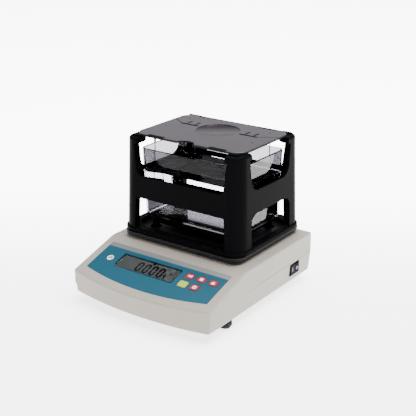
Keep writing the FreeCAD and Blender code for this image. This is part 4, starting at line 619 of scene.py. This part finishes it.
def disc(a, b, radius, hole=0.0, sides=40):
    """The outline of a disc, or of a ring when it has a hole."""
    t = np.linspace(0, 2 * np.pi, sides, endpoint=False)
    round_points = np.stack([np.cos(t), np.sin(t)], axis=-1)
    return radius * round_points + (a, b), (hole * round_points + (a, b)) if hole else None


print("helpers ready")

# %% [markdown]
# ## The reading
# Seven-segment figures stand on the liquid-crystal cell, under the window. A figure is a set of
# lit segments.

# %%
LIT = {"0": "abcdef", "g": "abcdfg"}
SEGMENTS = {
    "a": (0.5, 1.0, 0), "b": (1.0, 0.75, 90), "c": (1.0, 0.25, 90), "d": (0.5, 0.0, 0),
    "e": (0.0, 0.25, 90), "f": (0.0, 0.75, 90), "g": (0.5, 0.5, 0),
}
READING_FOOT, FIGURE_PITCH, READING_LAYER = 28.3, 10.28, (-1.79, -1.74)


def segment(middle_a, middle_b, length, stroke, turn):
    """
    A bar with pointed ends, turned by degrees.

    Before the turn its points are (L, 0), (L - T, T), (T - L, T) and the same three with both
    signs changed, where L is half the length and T half the stroke.
    """
    half, t = length / 2, stroke / 2
    upper = [(half, 0), (half - t, t), (t - half, t)]
    side = np.array(upper + [(-a, -b) for a, b in upper])
    c, s = math.cos(math.radians(turn)), math.sin(math.radians(turn))
    return side @ np.array([(c, s), (-s, c)]) + (middle_a, middle_b), None


def figure(letter, left, wide, high, stroke):
    """The lit segments of one figure, from its lower left corner."""
    shapes = []
    for name in LIT[letter]:
        u, v, turn = SEGMENTS[name]
        length = (wide if turn == 0 else high / 2) + 0.3
        shapes.append(segment(left + u * wide, READING_FOOT + v * high, length, stroke, turn))
    return shapes


def flecked(name, first, second, scale, roughness, patches, **uniform):
    """Print, ink or liquid: two close shades in flecks, and a slower change of shine."""
    paint = Paint(name, **uniform)
    paint.put("Base Color", paint.blend(paint.noise(scale), first, second))
    paint.put("Roughness", roughness + paint.noise(patches) * 0.1)
    return paint


INK_SHADES = shade(3, 4, 6), shade(6, 7, 9)
ink = flecked("crystal_ink", *INK_SHADES, 1500.0, 0.4, 300.0, Specular_IOR_Level=0.03)
reading = []
for place in range(4):
    reading += figure("0", -28.2 + FIGURE_PITCH * place, 5.1, 13.8, 2.3)
decimal_point = bar(-20.6, READING_FOOT - 0.2, 1.2, 1.2)
cursor, stable_mark = bar(-11.2, 45.4, 2.8, 2.4), disc(17.8, 38.0, 1.5, 0.5)
reading += [decimal_point, *figure("g", 11.2, 2.2, 6.4, 1.2), cursor, stable_mark]
points, faces = slabs(reading, *READING_LAYER, on_slope)
add_piece("reading", points, faces, ink, "base")
print("reading has", len(faces), "faces")

# %% [markdown]
# ## Key symbols
# Each key carries a small raised mark: arrow and bar, ring, triangle, box, and ring with bar.

# %%
SYMBOL_LAYER = (0.69, 0.74)
MARK_SHADES = shade(255, 242, 244), shade(250, 230, 234)
BOX_SHADES = shade(150, 146, 96), shade(160, 155, 104)
mark_paint = flecked("key_mark", *MARK_SHADES, 800.0, 0.4, 400.0, Coat_Weight=0.4)
box_paint = flecked("key_box", *BOX_SHADES, 800.0, 0.4, 400.0, Coat_Weight=0.4)

triangle = np.array([(-2.3, -1.4), (2.3, -1.4), (0.0, 2.0)])
arrow_shaft, arrow_head = [(-2.4, -0.5), (0.2, -0.5)], [(0.2, -1.6), (2.2, 0.0), (0.2, 1.6)]
arrow = np.array([*arrow_shaft, *arrow_head, (0.2, 0.5), (-2.4, 0.5)])
frame_out, frame_in = bar(0, 0, 6.2, 3.6)[0], bar(0, 0, 4.8, 2.2)[0]
SYMBOLS = [
    [(arrow, None), bar(2.9, 0.0, 0.8, 3.6)],
    [disc(0, 0, 2.3, 1.4), disc(0, 0, 0.8)],
    [(triangle, None), bar(0, -2.3, 4.6, 0.7)],
    [(frame_out, frame_in)],
    [disc(0, -0.2, 2.3, 1.5), bar(0, 1.4, 0.9, 2.6)],
]
for (number, middle), shapes in zip(KEYS.items(), SYMBOLS):
    spot = lambda a, b, n, m=middle: on_slope(a + m[0], b + m[1], n)
    points, faces = slabs(shapes, *SYMBOL_LAYER, spot)
    yellow = number == YELLOW_KEY
    paint, slot = (box_paint, "key_yellow") if yellow else (mark_paint, "key_red")
    add_piece("symbol_%d" % number, points, faces, paint, "key_%d" % number)
print(len(SYMBOLS), "symbols placed")

# %% [markdown]
# ## The bubble level
# The vial's bore holds a pale liquid under a domed lens, with a bubble and a centring ring.

# %%
LEVEL, RING_LAYER = (-69.5, 34.7), (-0.56, -0.52)
LENS_RADIUS, LENS_RISE, BUBBLE_RADIUS, BUBBLE_RISE = 3.0, 0.42, 1.05, 0.14


def turned(profile, sides=48):
    """
    A surface of revolution about the vial's axis.

    A point at angle t of a profile point (r, n) is (r cos t, r sin t, n) in the panel's own
    directions, moved to the vial.
    """
    t = np.linspace(0, 2 * np.pi, sides, endpoint=False)
    radius, n = np.array(profile).T
    x = LEVEL[0] + radius[:, None] * np.cos(t)
    s = LEVEL[1] + radius[:, None] * np.sin(t)
    return on_slope(x, s, n[:, None] + 0 * x).reshape(-1, 3), sides


def turned_piece(name, profile, paint):
    """A closed turned piece; its profile starts and ends near the axis."""
    points, sides = turned(profile)
    faces = closed_faces(len(profile), sides)
    add_piece(name, points, faces, paint, "base", smooth=True)


SPIRIT_SHADES = shade(232, 234, 222), shade(222, 226, 210)
SPIRIT_COAT = {"Coat_Weight": 0.8, "Coat_Roughness": 0.05}
spirit_paint = flecked("vial_spirit", *SPIRIT_SHADES, 200.0, 0.2, 500.0, **SPIRIT_COAT)
spirit = [(0.01, -5.0), (3.0, -5.0), (3.05, -0.75), (0.01, -0.6)]
turned_piece("vial_spirit", spirit, spirit_paint)
arc = np.linspace(0, math.pi / 2, 9)
dome = [(LENS_RADIUS * math.sin(t), LENS_RISE * math.cos(t) - 0.1) for t in arc]
dome[0] = (0.01, 0.32)
turned_piece("vial_lens", [(0.01, -0.3), (2.95, -0.3)] + dome[::-1], lens_paint)
arc = np.linspace(math.pi, 0, 13)
bubble = [(BUBBLE_RADIUS * math.sin(t) + 0.01, BUBBLE_RISE * math.cos(t) - 0.46) for t in arc]
turned_piece("vial_bubble", bubble, lens_paint)
ring_paint = moulded("ring_print", shade(120, 122, 120), 0.5)
points, faces = slabs([disc(*LEVEL, 1.62, 1.46)], *RING_LAYER, on_slope)
add_piece("vial_ring", points, faces, ring_paint, "base")
print("level filled")

# %% [markdown]
# ## The water
# The water fills the tank to its level and climbs its walls a little. Its outline is the tank's
# own rounded rectangle, laid a hair into the walls so that no film of air lies between.

# %%
def rounded_ring(half_a, half_b, corner, steps=14):
    """
    A rounded rectangle.

    Round each corner the points are c + r (cos t, sin t), where c is the corner's centre, r its
    radius, and t runs over a quarter turn.
    """
    ring = []
    for index, (to_a, to_b) in enumerate(((1, 1), (-1, 1), (-1, -1), (1, -1))):
        t = np.linspace(0, math.pi / 2, steps) + index * math.pi / 2
        a = to_a * (half_a - corner) + corner * np.cos(t)
        b = to_b * (half_b - corner) + corner * np.sin(t)
        ring.append(np.stack([a, b], axis=-1))
    return np.concatenate(ring)


TANK_FLOOR, TANK_RIM = 86.8, 169.9
HALF_A, HALF_B, CORNER, HAIR = 68.9, 45.8, 5.6, 0.12
TANK_DRAFT, DRAFT_HEIGHT, BOTTOM_ROUND = 3.5, 86.7, 2.6
CLIMB_HEIGHT, CLIMB_REACH = 0.9, 1.1


def draft(z):
    """How much narrower the tank is at a height than at its rim, on each side."""
    return TANK_DRAFT * (TANK_RIM - z) / DRAFT_HEIGHT


profile = []
for t in np.linspace(0, math.pi / 2, 7):
    height = TANK_FLOOR - HAIR + BOTTOM_ROUND * (1 - math.cos(t))
    profile.append((BOTTOM_ROUND * (1 - math.sin(t)) - HAIR, height))
for inset in np.linspace(0, 5.0, 9):
    profile.append((inset - HAIR, WATER_LEVEL + CLIMB_HEIGHT * math.exp(-inset / CLIMB_REACH)))
rings = []
for inset, z in profile:
    inset += draft(z)
    ring = rounded_ring(HALF_A - inset, HALF_B - inset, max(CORNER - inset, 0.8))
    rings.append(np.column_stack([ring, np.full(len(ring), z)]))
water_points = (np.concatenate(rings) + (0.0, PAN_Y, 0.0)) * MM
faces = closed_faces(len(rings), len(rings[0]))
add_piece("water", water_points, faces, water_paint, "tank")
print("water from", TANK_FLOOR, "to", WATER_LEVEL, "mm")

# %% [markdown]
# ## Switch marks
# A bar and a ring lie on the two faces of the rocker. They turn with it.

# %%
PIVOT, TILT, PRINT_LAYER = (94.2, 74.1, 27.1), math.radians(-7.0), (-0.02, 0.05)
FACE_OUT, FACE_HOLLOW, FACE_HALF = 3.8, 0.7, 7.7


def on_rocker(a, b, lift):
    """
    A place on the rocker's hollow face: a along it, b up, lift out of it.

    The face stands 3.8 mm out of the pivot in the middle and 4.5 mm at its ends; the whole is
    turned by the rocker's tilt.
    """
    a, b, lift = np.broadcast_arrays(*np.atleast_1d(a, b, lift))
    out = FACE_OUT + FACE_HOLLOW * np.abs(a) / FACE_HALF + lift
    x = PIVOT[0] + out * math.cos(TILT) - a * math.sin(TILT)
    y = PIVOT[1] + out * math.sin(TILT) + a * math.cos(TILT)
    return np.stack([x, y, PIVOT[2] + b], axis=-1) * MM


PRINT_SHADES = shade(142, 144, 158), shade(130, 132, 146)
print_paint = flecked("switch_print", *PRINT_SHADES, 900.0, 0.4, 500.0)
switch_marks = [bar(-4.3, 0, 0.9, 4.4), disc(4.3, 0, 2.0, 1.3)]
points, faces = slabs(switch_marks, *PRINT_LAYER, on_rocker)
add_piece("switch_marks", points, faces, print_paint, "rocker")
print("switch marked")

# %% [markdown]
# ## Floor and light
# The pale floor glows, more so behind the instrument, like the backdrop of a light box. The
# surround is bright near the horizon and dim overhead, and one large soft light hangs above.

# %%
FLOOR_REACH = 12
NEAR_GLOW, FAR_GLOW = (0.36, 0.36, 0.36), (1.0, 1.0, 1.0)
floor_paint = Paint("floor", Specular_IOR_Level=0.1, Emission_Strength=7.5)
floor_paint.put("Base Color", (0.85, 0.85, 0.85))
floor_x, floor_y, _ = floor_paint.place()
behind = floor_y * math.cos(AZIMUTH) - floor_x * math.sin(AZIMUTH)
floor_paint.put("Emission Color", floor_paint.blend(behind.rise(-0.05, 0.45), NEAR_GLOW, FAR_GLOW))
floor_paint.put("Roughness", 0.8 + floor_paint.noise(3.0) * 0.1)
floor_mesh = bpy.data.meshes.new("floor")
floor_corners = np.array([(-1, -1, 0), (1, -1, 0), (1, 1, 0), (-1, 1, 0)]) * FLOOR_REACH
floor_mesh.from_pydata(floor_corners.tolist(), [], [(0, 1, 2, 3)])
floor_mesh.materials.append(floor_paint.material)
floor = bpy.data.objects.new("floor", floor_mesh)
bpy.context.collection.objects.link(floor)

world = bpy.data.worlds.new("surround")
world.use_nodes = True
sky = world.node_tree
toward = sky.nodes.new("ShaderNodeTexCoord")
split = sky.nodes.new("ShaderNodeSeparateXYZ")
dim = sky.nodes.new("ShaderNodeMapRange")
dim.interpolation_type = "SMOOTHSTEP"
SKY_FADE = {"From Min": 0.42, "From Max": 0.62, "To Min": 1.05, "To Max": 0.25}
for words, amount in SKY_FADE.items():
    dim.inputs[words].default_value = amount
sky.links.new(toward.outputs["Generated"], split.inputs["Vector"])
sky.links.new(split.outputs["Z"], dim.inputs["Value"])
sky.links.new(dim.outputs["Result"], sky.nodes["Background"].inputs["Strength"])
sky.nodes["Background"].inputs["Color"].default_value = (0.98, 0.98, 1.0, 1.0)
bpy.context.scene.world = world


def softbox(name, spot, aim, wide, high, watts):
    """A rectangular area light at a spot, aimed at a point."""
    lamp = bpy.data.lights.new(name, "AREA")
    lamp.shape, lamp.size, lamp.size_y, lamp.energy = "RECTANGLE", wide, high, watts
    held = bpy.data.objects.new(name, lamp)
    held.location = spot
    held.rotation_euler = (Vector(aim) - Vector(spot)).to_track_quat("-Z", "Y").to_euler()
    bpy.context.collection.objects.link(held)


MIDDLE = (0.0, 0.0, 0.08)
softbox("key_light", (0.3, 0.2, 2.1), MIDDLE, 2.2, 2.2, 205.0)
print("lights placed")
